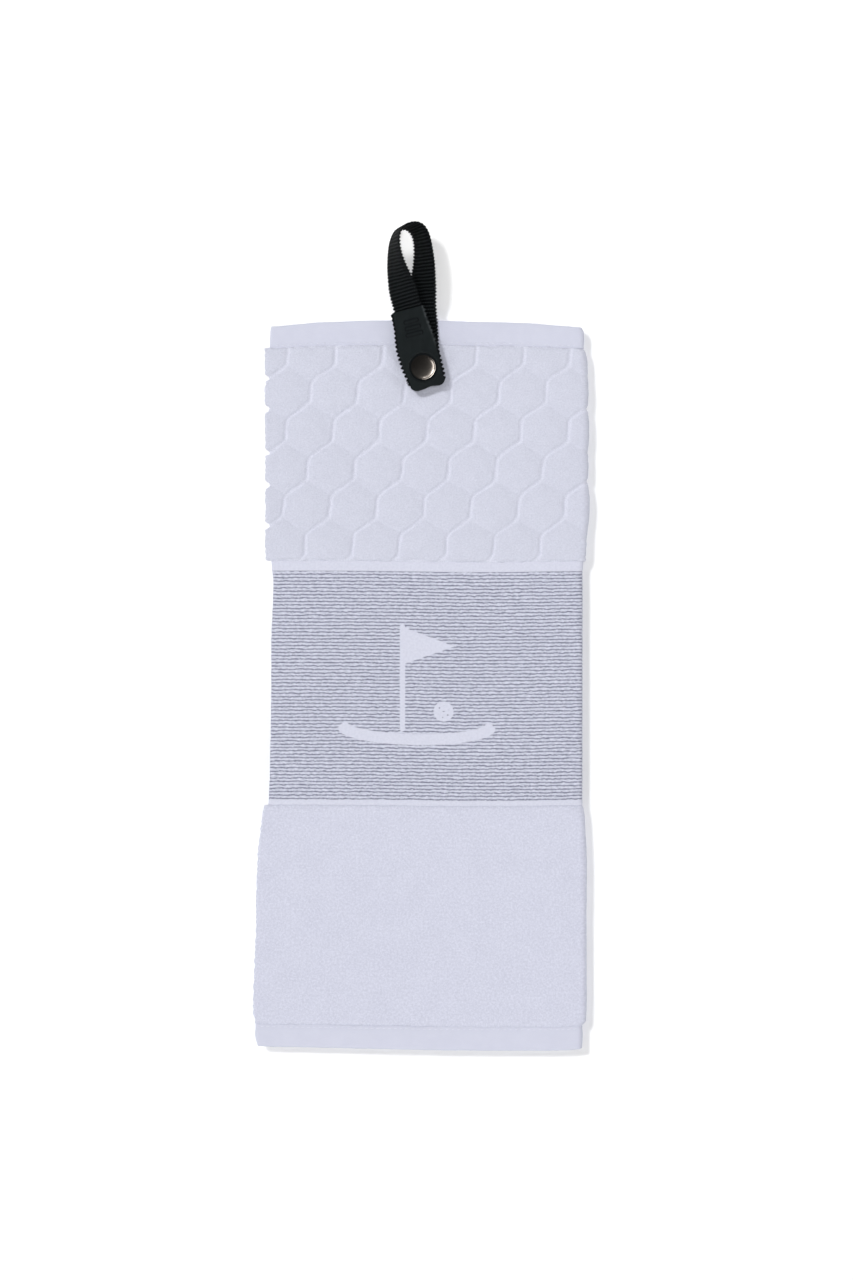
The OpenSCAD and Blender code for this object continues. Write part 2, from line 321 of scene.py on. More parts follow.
def emblem(along, z):
    """Signed distance, positive inside, of a plain golf emblem: a pin with a triangular
    pennant, a crescent green and a dimpled ball."""
    x = along + 6.0
    y = 203.4 - below(z)

    def below_line(normal_x, normal_y, offset):
        length = hypot(normal_x, normal_y)
        return offset / length - ((x + 8.0) * normal_x + (y - 22.5) * normal_y) / length

    def ellipse(centre_y, half_w, half_h):
        q = np.hypot(x / half_w, (y - centre_y) / half_h)
        gradient = np.hypot(x / half_w ** 2, (y - centre_y) / half_h ** 2)
        return (1 - q) / np.maximum(gradient / np.maximum(q, 1e-6), 1e-6)
    pole = 1.5 - segment_distance(x, y, (-8.0, -24.0), (-8.0, 33.0))
    pennant = np.minimum(np.minimum(below_line(-1, 0, 0.0), below_line(0.36, 1, 10.5)),
                         below_line(0.36, -1, 10.5))
    green = np.minimum(ellipse(-24.0, 44.0, 9.0), -ellipse(-20.2, 39.0, 6.6))
    from_ball = np.hypot(x - 15.0, y + 14.0)
    ball = np.minimum(5.6 - from_ball, from_ball - 0.6)
    for k in range(6):
        turn = radians(60 * k + 20)
        dimple = np.hypot(x - 15.0 - 3.1 * cos(turn), y + 14.0 - 3.1 * sin(turn)) - 0.55
        ball = np.minimum(ball, dimple)
    return np.maximum(np.maximum(pole, pennant), np.maximum(green, ball))


# ------------------------------------------------------------ puffed pillows

PUFF_STEP = 1.6
PUFF_X, PUFF_Z = -92.0, Z_BAND - 2


def sample_puff(along, z):
    """The simulated height field, read bilinearly."""
    u = np.clip((along - PUFF_X) / PUFF_STEP, 0, PUFF.shape[1] - 1.001)
    v = np.clip((z - PUFF_Z) / PUFF_STEP, 0, PUFF.shape[0] - 1.001)
    i, j = np.floor(v).astype(int), np.floor(u).astype(int)
    a, b = v - i, u - j
    return (PUFF[i, j] * (1 - a) * (1 - b) + PUFF[i + 1, j] * a * (1 - b)
            + PUFF[i, j + 1] * (1 - a) * b + PUFF[i + 1, j + 1] * a * b)


def simulate_puff():
    """The honeycomb sheet, held along its grooves, is blown up and settles into pillows.
    Returns their heights as a grid, or None if the cloth did not move."""
    across = np.arange(PUFF_X, 96.0, PUFF_STEP)
    up = np.arange(PUFF_Z, Z_HONEYCOMB + 2, PUFF_STEP)
    along, z = np.meshgrid(across, up)
    border = np.maximum(inside_span(below(z), HONEYCOMB_PILE), 0)
    pinned = np.minimum(cell_edge_distance(along, z), border) < 0.95
    points = np.stack([along + MID_X, np.zeros_like(along), z], -1).reshape(-1, 3)
    ob = mesh_object("puff_sheet", points, grid_quads(len(up), len(across)))
    group = ob.vertex_groups.new(name="pin")
    group.add([int(i) for i in np.nonzero(pinned.ravel())[0]], 1.0, "REPLACE")
    ob.scale = (10, 10, 10)          # the solver is happier with metres
    bpy.context.view_layer.update()
    cloth = ob.modifiers.new("cloth", "CLOTH")
    settings = cloth.settings
    settings.quality = 5
    settings.mass = 0.25
    settings.tension_stiffness = settings.compression_stiffness = 12
    settings.shear_stiffness = 6
    settings.bending_stiffness = 0.4
    settings.vertex_group_mass = "pin"
    settings.use_pressure = True
    settings.uniform_pressure_force = 2.5
    settings.shrink_min = -0.035     # a little extra cloth to wrinkle with
    settings.effector_weights.gravity = 0
    cloth.collision_settings.use_collision = False
    scene = bpy.context.scene
    for f in range(1, 15):
        scene.frame_set(f)
    depsgraph = bpy.context.evaluated_depsgraph_get()
    settled = ob.evaluated_get(depsgraph).to_mesh()
    coords = np.zeros(len(settled.vertices) * 3)
    settled.vertices.foreach_get("co", coords)
    y = coords.reshape(-1, 3)[:, 1].reshape(along.shape) / MM
    scene.frame_set(1)
    bpy.data.objects.remove(ob)
    if np.abs(y).max() < 1e-4:
        return None
    if abs(y.min()) > abs(y.max()):
        y = -y
    crown = np.percentile(y, 96)     # the pillow crowns are scaled to a set height
    return np.clip(y / max(crown, 1e-6) * 0.55, -0.15, 0.85)


PUFF = simulate_puff()


# ------------------------------------------------------------ reliefs of the weave zones
# Each takes the unrolled place, z and the face (1 the towel's front, -1 its back), and gives
# the height over the flat cloth and what the materials read: pile, rib phase, emblem distance.

def pile_noise(along, z, seed, amount):
    return amount * (0.55 * noise(along / 0.9, z / 0.9, seed)
                     + 0.35 * noise(along / 2.1, z / 2.3, seed + 1)
                     + 0.4 * noise(along / 6.0, z / 7.0, seed + 2))


def honeycomb_relief(along, z, face):
    falling = np.maximum(cell_sides(along, z)[2], 0)      # the faint third pair of sides
    line = stepped_line_distance(along, z) * (1 + 0.25 * noise(along / 2.2, z / 2.2, 16))
    border = inside_span(below(z), HONEYCOMB_PILE)
    border = np.maximum(border + 0.45 * noise(along / 1.6, face, 9)
                        + 0.3 * noise(along / 5.0, face, 10), 0)
    groove = np.minimum(line, border * 0.8 + 0.45)
    any_groove = np.minimum(groove, falling + 0.3)
    fade = 0.5 + 0.5 * noise(along / 9.0, z / 7.0, 17) + 0.35 * noise(along / 1.5, z / 1.5, 18)
    pile = np.maximum(smooth(0.34, 1.50, groove),
                      0.34 * smooth(0.45, 1.0, fade) * (groove < 1.5))
    faint = 1 - 0.24 * (1 - smooth(0.1, 1.7, falling)) * smooth(0.5, 3.0, line)
    dome = 1 - (1 - np.clip(any_groove / 11.0, 0, 1)) ** 2.2
    height = -0.56 + 0.70 * pile * faint + 0.42 * dome * pile
    if PUFF is not None and face > 0:
        height = height + sample_puff(along, z) * pile
    crimp = (0.07 * np.sin(2 * pi * any_groove / 1.5)
             * smooth(0.0, 0.8, noise(along / 7.0, z / 7.0, 14))
             * (1 - smooth(4, 8, any_groove)))
    height = height + crimp + pile_noise(along, z, 20 + face, 0.10) * (0.45 + 0.55 * pile)
    if face < 0:
        height = height * 0.55 - 0.05
    return height, pile * (0.9 + 0.1 * faint), 0.0, NO_MARK


def plain_relief(along, z, face):
    ragged = 0.5 * noise(along / 1.5, face, 44) + 0.45 * noise(along / 4.6, face, 45)
    border = inside_span(below(z), PLAIN_PILE) + 0.4 * ragged
    near = np.exp(-np.maximum(border, 0) / 2.6)
    height = (-0.62 + 0.62 * smooth(-0.3, 1.5, border)
              + pile_noise(along, z, 40 + face, 0.11 + 0.12 * near)
              + 0.14 * noise(along / 18.0, z / 16.0, 43)
              + 0.06 * noise(along / 4.0, z / 4.0, 46))
    return height, 1.0, 0.0, NO_MARK


def hem_relief(along, z, face):
    depth = below(z)
    # 0 at the towel's edge, 1 at the seam
    inward = np.where(depth < 200, depth / 13.2, (406.4 - depth) / 12.9)
    seam = np.exp(-((inward - 0.90) / 0.06) ** 2) * (0.75 + 0.35 * noise(along / 1.6, 0.0, 64))
    pucker = 0.13 * noise(along / 2.6, inward, 61) * smooth(0.45, 0.9, inward)
    height = (0.10 * np.sin(np.clip(inward, 0, 1) * pi) - 0.26 * seam + pucker
              + 0.04 * noise(along / 14.0, z / 12.0, 62)
              + 0.03 * noise(along / 0.9, z / 0.9, 63))
    return height, 0.0, 0.0, NO_MARK


def band_relief(along, z, face):
    depth = below(z)
    phase = rib_phase(along, z)
    inside = (smooth(BAND_TOP - 0.3, BAND_TOP + 0.2, depth)
              * (1 - smooth(BAND_END - 0.2, BAND_END + 0.3, depth)))
    mark = emblem(along, z) if face > 0 else NO_MARK
    in_mark = smooth(-0.25, 0.25, mark)
    ribs = 0.5 - 0.5 * np.cos(2 * pi * phase)      # 0 in a groove, 1 on a rib's crown
    height = ((-0.18 + 0.34 * ribs ** 0.7) * inside * (1 - in_mark)
              + 0.10 * in_mark * inside + 0.10 * (1 - inside)
              + 0.03 * noise(along / 0.8, z / 0.7, 71)
              + 0.10 * noise(along / 23.0, z / 19.0, 72)
              + 0.05 * noise(along / 3.1, depth / 1.9, 73) * inside)
    return height, inside, phase, mark


# ------------------------------------------------------------ shader node helpers

class Value:
    """A node's output; arithmetic on it adds math nodes."""

    def __init__(self, shader, node, output=0):
        self.shader, self.node, self.output = shader, node, output

    def out(self, output):
        return Value(self.shader, self.node, output)

    def __add__(self, other):
        return self.shader.math("ADD", self, other)

    def __sub__(self, other):
        return self.shader.math("SUBTRACT", self, other)

    def __rsub__(self, other):
        return self.shader.math("SUBTRACT", other, self)

    def __mul__(self, other):
        return self.shader.math("MULTIPLY", self, other)


PRINCIPLED_INPUTS = {
    "color": "Base Color", "metallic": "Metallic", "roughness": "Roughness",
    "specular": "Specular IOR Level", "normal": "Normal", "sheen": "Sheen Weight",
    "sheen_roughness": "Sheen Roughness", "sheen_tint": "Sheen Tint"}


class Shader:
    """Adds nodes to the tree of a material or world. Inputs are Values, numbers or tuples."""

    def __init__(self, owner, clear=True):
        owner.use_nodes = True
        self.owner, self.tree = owner, owner.node_tree
        if clear:
            self.tree.nodes.clear()

    def feed(self, node, inputs):
        for key, value in inputs.items():
            socket = node.inputs[key]
            if isinstance(value, Value):
                self.tree.links.new(value.node.outputs[value.output], socket)
            else:
                socket.default_value = (*value, 1) if socket.type == "RGBA" else value

    def node(self, kind, inputs=None, **settings):
        node = self.tree.nodes.new(kind)
        for key, value in settings.items():
            setattr(node, key, value)
        self.feed(node, inputs or {})
        return Value(self, node)

    def attribute(self, name, output="Fac"):
        return self.node("ShaderNodeAttribute", attribute_name=name).out(output)

    def object_place(self):
        return self.node("ShaderNodeTexCoord").out("Object")

    def object_mm(self):
        return self.stretch(self.object_place(), (1000, 1000, 1000))

    def math(self, operation, *values):
        return self.node("ShaderNodeMath", dict(enumerate(values)), operation=operation)

    def vector_math(self, operation, first, second):
        return self.node("ShaderNodeVectorMath", {0: first, 1: second}, operation=operation)

    def stretch(self, vector, factors):
        return self.vector_math("MULTIPLY", vector, factors)

    def ramp(self, value, span, to=(0.0, 1.0), kind="SMOOTHSTEP"):
        inputs = {0: value, 1: span[0], 2: span[1], 3: to[0], 4: to[1]}
        return self.node("ShaderNodeMapRange", inputs, interpolation_type=kind)

    def noise(self, vector, scale, detail=2.0, rough=0.5):
        inputs = {"Vector": vector, "Scale": scale, "Detail": detail, "Roughness": rough}
        return self.node("ShaderNodeTexNoise", inputs).out("Fac")

    def voronoi(self, vector, scale):
        inputs = {"Vector": vector, "Scale": scale}
        return self.node("ShaderNodeTexVoronoi", inputs).out("Distance")

    def wave(self, vector, scale, direction, distortion, detail_scale=1.0):
        inputs = {"Vector": vector, "Scale": scale, "Distortion": distortion,
                  "Detail": 1.0, "Detail Scale": detail_scale}
        return self.node("ShaderNodeTexWave", inputs, bands_direction=direction).out("Fac")

    def mix(self, factor, first, second):
        inputs = {"Factor": factor, 6: first, 7: second}
        return self.node("ShaderNodeMix", inputs, data_type="RGBA").out(2)

    def tint(self, color, other, by, span=(0.3, 0.7), to=(0.0, 1.0)):
        """Goes from color to other as by crosses the span."""
        return self.mix(self.ramp(by, span, to), color, other)

    def bump(self, height, strength, distance):
        inputs = {"Strength": strength, "Distance": distance * MM, "Height": height}
        return self.node("ShaderNodeBump", inputs)

    def weave(self, uvw, pitch_x=0.55, pitch_z=0.62):
        """Height of a plain weave of fine yarn."""
        place = self.node("ShaderNodeSeparateXYZ", {0: uvw})
        warp = self.math("SINE", place.out("X") * (2 * pi / pitch_x))
        weft = self.math("SINE", place.out("Y") * (2 * pi / pitch_z))
        return self.math("MULTIPLY_ADD", warp * weft, 0.5, 0.5)

    def output(self, surface, kind="ShaderNodeOutputMaterial"):
        self.node(kind, {0: surface})
        return self.owner

    def principled(self, **inputs):
        inputs = {PRINCIPLED_INPUTS[key]: value for key, value in inputs.items()}
        return self.output(self.node("ShaderNodeBsdfPrincipled", inputs))


def new_shader(name):
    return Shader(bpy.data.materials.new(name))


# ------------------------------------------------------------ materials

WHITE = (0.565, 0.575, 0.672)
WHITE_HIGH = (0.610, 0.620, 0.715)
WHITE_LOW = (0.520, 0.530, 0.625)
TUFT_SHADE = (0.40, 0.41, 0.50)
YARN_SHADE = (0.50, 0.51, 0.61)
RIB_DARK = (0.170, 0.176, 0.236)
SHEEN_TINT = (0.95, 0.95, 1.0)
NO_TINT = (1, 1, 1)
WEB_RIB = 1.93                       # cross rib pitch of the webbing


def terry_material():
    sh = new_shader("terry_white")
    uvw = sh.attribute("uvw", "Vector")
    pile = sh.attribute("pile")
    loops = sh.noise(uvw, scale=1.25, detail=3.0, rough=0.65)
    tufts = sh.voronoi(sh.stretch(uvw, (1.0, 1.0, 1.0)), scale=1.15)
    wales = sh.wave(uvw, 0.16, direction="X", distortion=1.6, detail_scale=0.6)
    courses = sh.wave(uvw, 0.19, direction="Y", distortion=1.4, detail_scale=0.5)
    blotches = sh.noise(uvw, scale=0.16, detail=3.0, rough=0.6)
    fine = sh.noise(uvw, scale=4.0, rough=0.6)
    grain = sh.noise(uvw, scale=0.85, detail=3.0, rough=0.7)
    thread = sh.noise(uvw, scale=1.5, detail=1.0)
    color = sh.tint((0.552, 0.565, 0.652), (0.584, 0.597, 0.686), by=blotches)
    color = sh.tint(color, (0.49, 0.502, 0.590), by=grain, span=(0.36, 0.64), to=(0.0, 0.62))
    color = sh.tint(color, (0.65, 0.662, 0.755), by=loops, span=(0.35, 0.70), to=(0.0, 0.58))
    color = sh.tint(color, TUFT_SHADE, by=tufts, span=(0.0, 0.9), to=(0.0, 0.14))
    ground = sh.tint((0.560, 0.570, 0.665), (0.660, 0.670, 0.760), by=thread)
    color = sh.tint(color, ground, by=pile, span=(0.15, 0.97), to=(1.0, 0.0))
    color = sh.mix(wales * courses * 0.10, color, WHITE_LOW)
    height = loops * 0.55 + (1.0 - tufts) * 0.45 + fine * 0.18
    height = height * sh.ramp(pile, span=(0.0, 1.0), to=(0.35, 1.0))
    return sh.principled(
        color=color, roughness=0.95, specular=0.12, sheen=0.16, sheen_roughness=0.6,
        sheen_tint=SHEEN_TINT, normal=sh.bump(height, strength=0.55, distance=0.32))


def velour_material():
    sh = new_shader("velour_white")
    uvw = sh.attribute("uvw", "Vector")
    nap = sh.noise(sh.stretch(uvw, (1.0, 0.85, 1.0)), scale=1.1, detail=3.0, rough=0.62)
    brushing = sh.noise(sh.stretch(uvw, (1.0, 0.85, 1.0)), scale=0.085, detail=3.0, rough=0.6)
    specks = sh.voronoi(uvw, scale=0.85)
    fine = sh.noise(uvw, scale=5.0, rough=0.6)
    grain = sh.noise(uvw, scale=0.75, detail=3.0, rough=0.7)
    color = sh.tint((0.538, 0.549, 0.650), (0.572, 0.583, 0.684), by=brushing)
    color = sh.tint(color, (0.640, 0.651, 0.752), by=nap, span=(0.36, 0.66), to=(0.0, 0.80))
    color = sh.tint(color, (0.465, 0.475, 0.572), by=grain, span=(0.36, 0.62), to=(0.50, 0.0))
    color = sh.tint(color, TUFT_SHADE, by=specks, span=(0.0, 0.22), to=(0.16, 0.0))
    height = nap * 0.7 + fine * 0.25
    return sh.principled(
        color=color, roughness=0.95, specular=0.1, sheen=0.20, sheen_roughness=0.55,
        sheen_tint=SHEEN_TINT, normal=sh.bump(height, strength=0.40, distance=0.25))


def hem_material():
    sh = new_shader("hem_white")
    uvw = sh.attribute("uvw", "Vector")
    weave = sh.weave(uvw)
    blotches = sh.noise(uvw, scale=0.12)
    yarn = sh.noise(sh.stretch(uvw, (0.25, 2.0, 1.0)), scale=1.3, rough=0.6)
    color = sh.tint((0.562, 0.574, 0.674), (0.578, 0.590, 0.688), by=blotches)
    color = sh.mix(sh.ramp(weave, span=(0.0, 1.0)) * 0.10, color, YARN_SHADE)
    color = sh.tint(color, YARN_SHADE, by=yarn, span=(0.40, 0.75), to=(0.0, 0.20))
    height = weave * 0.6 + yarn * 0.5
    return sh.principled(
        color=color, roughness=0.85, specular=0.2, sheen=0.08, sheen_roughness=0.5,
        sheen_tint=NO_TINT, normal=sh.bump(height, strength=0.35, distance=0.12))


def band_material():
    sh = new_shader("scrub_band_grey")
    uvw = sh.attribute("uvw", "Vector")
    # yarn-sized jitter of the stripe edges
    jitter = sh.noise(sh.stretch(uvw, (0.85, 1.6, 1.0)), scale=1.0, rough=0.65)
    jitter = (jitter - 0.5) * 0.60
    stripes = sh.math("COSINE", (sh.attribute("rib") + jitter) * (2 * pi))
    width = sh.noise(sh.stretch(uvw, (0.35, 0.6, 1.0)), scale=0.9, rough=0.6)
    threshold = sh.ramp(width, span=(0.25, 0.75), to=(0.0, 0.40), kind="LINEAR")
    dark = sh.ramp(stripes - threshold, span=(-0.25, 0.55))
    tone = sh.noise(sh.stretch(uvw, (0.5, 0.8, 1.0)), scale=0.75, rough=0.6)
    dark = dark * sh.ramp(tone, span=(0.2, 0.75), to=(0.62, 1.0))
    dots = sh.noise(sh.stretch(uvw, (0.55, 1.3, 1.0)), scale=0.85, rough=0.55)
    light = sh.tint((0.470, 0.482, 0.580), (0.610, 0.624, 0.725), by=dots, span=(0.32, 0.68))
    color = sh.mix(dark, light, RIB_DARK)
    # white woven emblem and white borders
    white = sh.tint(WHITE, WHITE_HIGH, by=sh.noise(uvw, scale=0.8))
    mark_edge = sh.attribute("mark") + jitter * 1.4
    color = sh.tint(color, white, by=mark_edge, span=(-0.22, 0.22))
    color = sh.mix(sh.attribute("pile"), white, color)
    yarn = sh.noise(sh.stretch(uvw, (1.6, 0.8, 1.0)), scale=1.4, rough=0.6)
    height = sh.weave(uvw, pitch_x=0.62, pitch_z=0.5) * 0.5 + yarn * 0.6
    return sh.principled(
        color=color, roughness=0.85, specular=0.18, sheen=0.06, sheen_roughness=0.5,
        sheen_tint=NO_TINT, normal=sh.bump(height, strength=0.45, distance=0.14))


def thread_material():
    sh = new_shader("thread_white")
    place = sh.stretch(sh.object_mm(), (1.0, 1.0, 0.6))
    twist = sh.wave(place, 1.3, direction="DIAGONAL", distortion=0.3)
    return sh.principled(color=sh.mix(twist, WHITE_HIGH, (0.66, 0.67, 0.76)), roughness=0.6,
                         normal=sh.bump(twist, strength=0.5, distance=0.08))


def webbing_material():
    """Its uvw runs along the strap in x and across it in y; row is 1 on a rib's crown."""
    sh = new_shader("webbing_black")
    uvw = sh.attribute("uvw", "Vector")
    place = sh.node("ShaderNodeSeparateXYZ", {0: uvw})
    fibre = sh.noise(sh.stretch(uvw, (2.4, 0.9, 1.0)), scale=1.0, rough=0.6)
    cords = sh.math("SINE", place.out("Y") * (2 * pi / 0.78))
    slant = sh.math("MULTIPLY_ADD", place.out("Y"), 2 * pi / 1.35,
                    place.out("X") * (2 * pi / (2 * WEB_RIB)))
    dashes = sh.ramp(sh.math("SINE", slant), span=(-0.3, 0.5))
    # painted highlight: the rib crowns are painted lighter, in slanted dashes
    crown = (sh.math("POWER", sh.attribute("row"), 2.4)
             * sh.math("MULTIPLY_ADD", dashes, 0.80, 0.20))
    lint = sh.noise(sh.stretch(uvw, (0.6, 0.6, 1.0)), scale=1.7, detail=3.0, rough=0.7)
    color = sh.tint((0.0008, 0.0012, 0.0014), (0.0026, 0.0036, 0.0040), by=fibre,
                    span=(0.3, 0.75))
    color = sh.mix(crown * 0.95, color, (0.0250, 0.0290, 0.0310))
    color = sh.tint(color, (0.026, 0.028, 0.036), by=lint, span=(0.66, 0.82), to=(0.0, 0.22))
    height = cords * 0.35 + fibre * 0.6
    return sh.principled(color=color, roughness=0.72, specular=0.07,
                         normal=sh.bump(height, strength=0.7, distance=0.16))


def rubber_material():
    sh = new_shader("tab_rubber")
    place = sh.object_mm()
    grain = sh.noise(place, scale=2.6, detail=3.0, rough=0.6)
    scuff = sh.noise(sh.stretch(place, (1.0, 1.0, 0.35)), scale=0.35, detail=4.0, rough=0.65)
    dust = sh.noise(place, scale=5.5)
    color = sh.tint((0.0075, 0.0100, 0.0108), (0.0105, 0.0135, 0.0145), by=scuff,
                    span=(0.35, 0.75))
    color = sh.tint(color, (0.030, 0.032, 0.035), by=dust, span=(0.70, 0.80), to=(0.0, 0.20))
    # painted shade: darker on the scalloped skirt, in the recess and along the grip bars' flanks
    color = sh.mix(sh.attribute("dark"), color, (0.0016, 0.0022, 0.0034))
    # painted highlight along the upper right bevel
    color = sh.mix(sh.attribute("bevel_highlight"), color, (0.048, 0.055, 0.058))
    return sh.principled(color=color, specular=0.11,
                         roughness=sh.ramp(scuff, span=(0.3, 0.8), to=(0.50, 0.66)),
                         normal=sh.bump(grain, strength=0.35, distance=0.05))


def metal_material(name, base, rough, brushed=0.0):
    sh = new_shader(name)
    place = sh.object_mm()
    cloud = sh.noise(place, scale=0.9, detail=4.0, rough=0.6)
    streaks = sh.noise(sh.stretch(place, (1.0, 1.0, 9.0)), scale=2.2, detail=3.0, rough=0.7)
    roughness = sh.ramp(streaks, span=(0.35, 0.75), to=(rough, rough + 0.10 + brushed))
    return sh.principled(
        color=sh.tint(tuple(x * 0.86 for x in base), base, by=cloud), metallic=1.0,
        roughness=roughness,
        normal=sh.bump(streaks, strength=0.06 + brushed * 0.6, distance=0.01))


TERRY_MAT = terry_material()
VELOUR_MAT = velour_material()
HEM_MAT = hem_material()
BAND_MAT = band_material()
THREAD_MAT = thread_material()
WEBBING_MAT = webbing_material()
RUBBER_MAT = rubber_material()
CAP_MAT = metal_material("cap_gunmetal", base=(0.024, 0.0225, 0.021), rough=0.20)
PLATED_MAT = metal_material("snap_plated", base=(0.34, 0.33, 0.32), rough=0.26, brushed=0.12)
SPRING_MAT = metal_material("spring_steel", base=(0.55, 0.55, 0.56), rough=0.18)


# ------------------------------------------------------------ the towel

class Zone(NamedTuple):
    """One weave zone. A pair of steps is the column spacing on the first and the second
    flat stretch of the cloth; open stretches are finer than covered ones."""
    name: str
    node: str
    top: float
    bottom: float
    relief: Callable
    material: Any
    slot: str
    row_step: float = 0.85
    thick: float = HEM_THICK
    fold_inset: float = 0.06         # right fold's outside, in from the outline
    left_shift: float = 0.6          # left fold, right of its joint
    front_steps: tuple = (1.1, 2.4)
    rear_steps: tuple = (2.6, 2.6)


ZONES = [
    Zone("top_hem", "top_hem", Z_TOP, Z_HONEYCOMB, hem_relief, HEM_MAT, "hem_white"),
    Zone("honeycomb", "honeycomb_terry", Z_HONEYCOMB, Z_BAND, honeycomb_relief, TERRY_MAT,
         "terry_white", thick=TERRY, fold_inset=0.62, left_shift=0.0,
         front_steps=(0.85, 1.7), rear_steps=(2.2, 1.5)),
    Zone("band", "scrub_band", Z_BAND, Z_PLAIN, band_relief, BAND_MAT, "scrub_band_grey",
         row_step=0.40, thick=BAND_THICK, front_steps=(0.95, 2.4), rear_steps=(3.2, 2.2)),
    Zone("plain", "plain_terry", Z_PLAIN, Z_HEM, plain_relief, VELOUR_MAT, "terry_white",
         row_step=0.95, thick=TERRY, fold_inset=0.175, left_shift=0.0,
         front_steps=(0.95, 1.9), rear_steps=(2.4, 1.6)),
    Zone("bottom_hem", "bottom_hem", Z_HEM, Z_BOTTOM, hem_relief, HEM_MAT, "hem_white"),
]

EDGE_INSETS = np.array([0.0, 0.10, 0.28, 0.55, 0.95])     # close columns and rows at an edge
EDGE_REACH = EDGE_INSETS[-1]


def zone_rows(zone):
    count = int(round((zone.top - zone.bottom - 2 * EDGE_REACH) / zone.row_step))
    core = np.linspace(zone.top - EDGE_REACH, zone.bottom + EDGE_REACH, count)
    return np.concatenate([zone.top - EDGE_INSETS[:-1], core,
                           (zone.bottom + EDGE_INSETS[:-1])[::-1]])


class FoldLines:
    """Unrolled places, per row, where each stretch of the cloth starts or ends."""

    def __init__(self, zone, rows):
        right = np.interp(below(rows), *RIGHT_EDGE) - (FOLD_R + zone.thick / 2)
        self.right = np.clip(right - zone.fold_inset, FOLD_RIGHT - 2.2, FOLD_RIGHT + 1.6)
        self.left = np.full(len(rows), FOLD_LEFT) + zone.left_shift
        self.middle = self.right + ARC                          # start of the middle third
        self.turn = self.middle + (self.right - self.left)      # its end, at the left fold
        self.back = self.turn + ARC                             # start of the back third
        edge = np.interp(below(rows), *LEFT_EDGE)
        if zone.name == "honeycomb":
            cell_edge = cell_edge_distance(edge - 0.6, rows)
            edge = edge - 2.5 * smooth(0.6, 2.3, cell_edge) - 0.35 * noise(rows / 1.3, 0, 81)
        elif zone.name == "plain":
            edge = edge - 0.3 * noise(rows / 1.4, 0, 82)
        else:
            edge = edge - 0.12 * noise(rows / 2.6, 0, 83)
        self.front_edge = edge
        self.back_edge = (self.back + (FOLD_RIGHT - 1.0) - self.left
                          + 0.35 * noise(rows / 1.7, 3, 84))

    def columns(self, part, steps):
        """Unrolled place of every column in every row. The front part is the front third,
        the right fold and half of the middle third; the back part is the rest."""
        def spread(start, end, count):
            return start[:, None] + (end - start)[:, None] * np.linspace(0, 1, count, False)
        seam = self.middle + self.right        # where the parts meet, at the centre line
        if part == "front":
            first = self.front_edge[:, None]
            return np.concatenate([
                first + EDGE_INSETS[:-1],
                spread(self.front_edge + EDGE_REACH, self.right, int(round(174.0 / steps[0]))),
                spread(self.right, self.middle, 10),
                spread(self.middle, seam, int(round(86.0 / steps[1]))),
                seam[:, None]], 1)
        last = self.back_edge[:, None]
        return np.concatenate([
            spread(seam, self.turn, int(round(84.0 / steps[0]))),
            spread(self.turn, self.back, 10),
            spread(self.back, self.back_edge - EDGE_REACH, int(round(170.0 / steps[1]))),
            last - EDGE_INSETS[::-1]], 1)


def fold_points(along, lines):
    """x and y of the mid-surface, and of the front face's normal."""
    right, left = lines.right[:, None], lines.left[:, None]
    middle, turn, back = lines.middle[:, None], lines.turn[:, None], lines.back[:, None]
    first = TERRY / 2
    angle_r, angle_l = (along - right) / FOLD_R, (along - turn) / FOLD_R
    stretches = [along <= right, along <= middle, along <= turn, along <= back]
    x = np.select(stretches, [
        along, right + FOLD_R * np.sin(angle_r),
        right - (along - middle), left - FOLD_R * np.sin(angle_l)], left + (along - back))
    y = np.select(stretches, [
        first, first + FOLD_R - FOLD_R * np.cos(angle_r),
        first + 2 * FOLD_R, first + 3 * FOLD_R - FOLD_R * np.cos(angle_l)],
        first + 4 * FOLD_R)
    normal_x = np.select(stretches, [0.0, np.sin(angle_r), 0.0, np.sin(angle_l)], 0.0)
    normal_y = np.select(stretches, [-1.0, -np.cos(angle_r), 1.0, np.cos(angle_l)], -1.0)
    return x, y, normal_x, normal_y


def press_under_strap(x, y, z, on_front):
    """The pile is pressed down under the strap's fixed end, over the whole of its swing."""
    from_x, from_z = x - (SNAP_X - MID_X), z - SNAP_Z
    reach = np.where(from_z > 0, np.abs(from_x) - (10.9 + 0.466 * from_z),
                     np.hypot(from_x, from_z) - 12.9)
    under = (1 - smooth(0.0, 5.0, reach)) * on_front
    return y * (1 - under) + under * np.maximum(y, 0.16 + 0.15 * y)


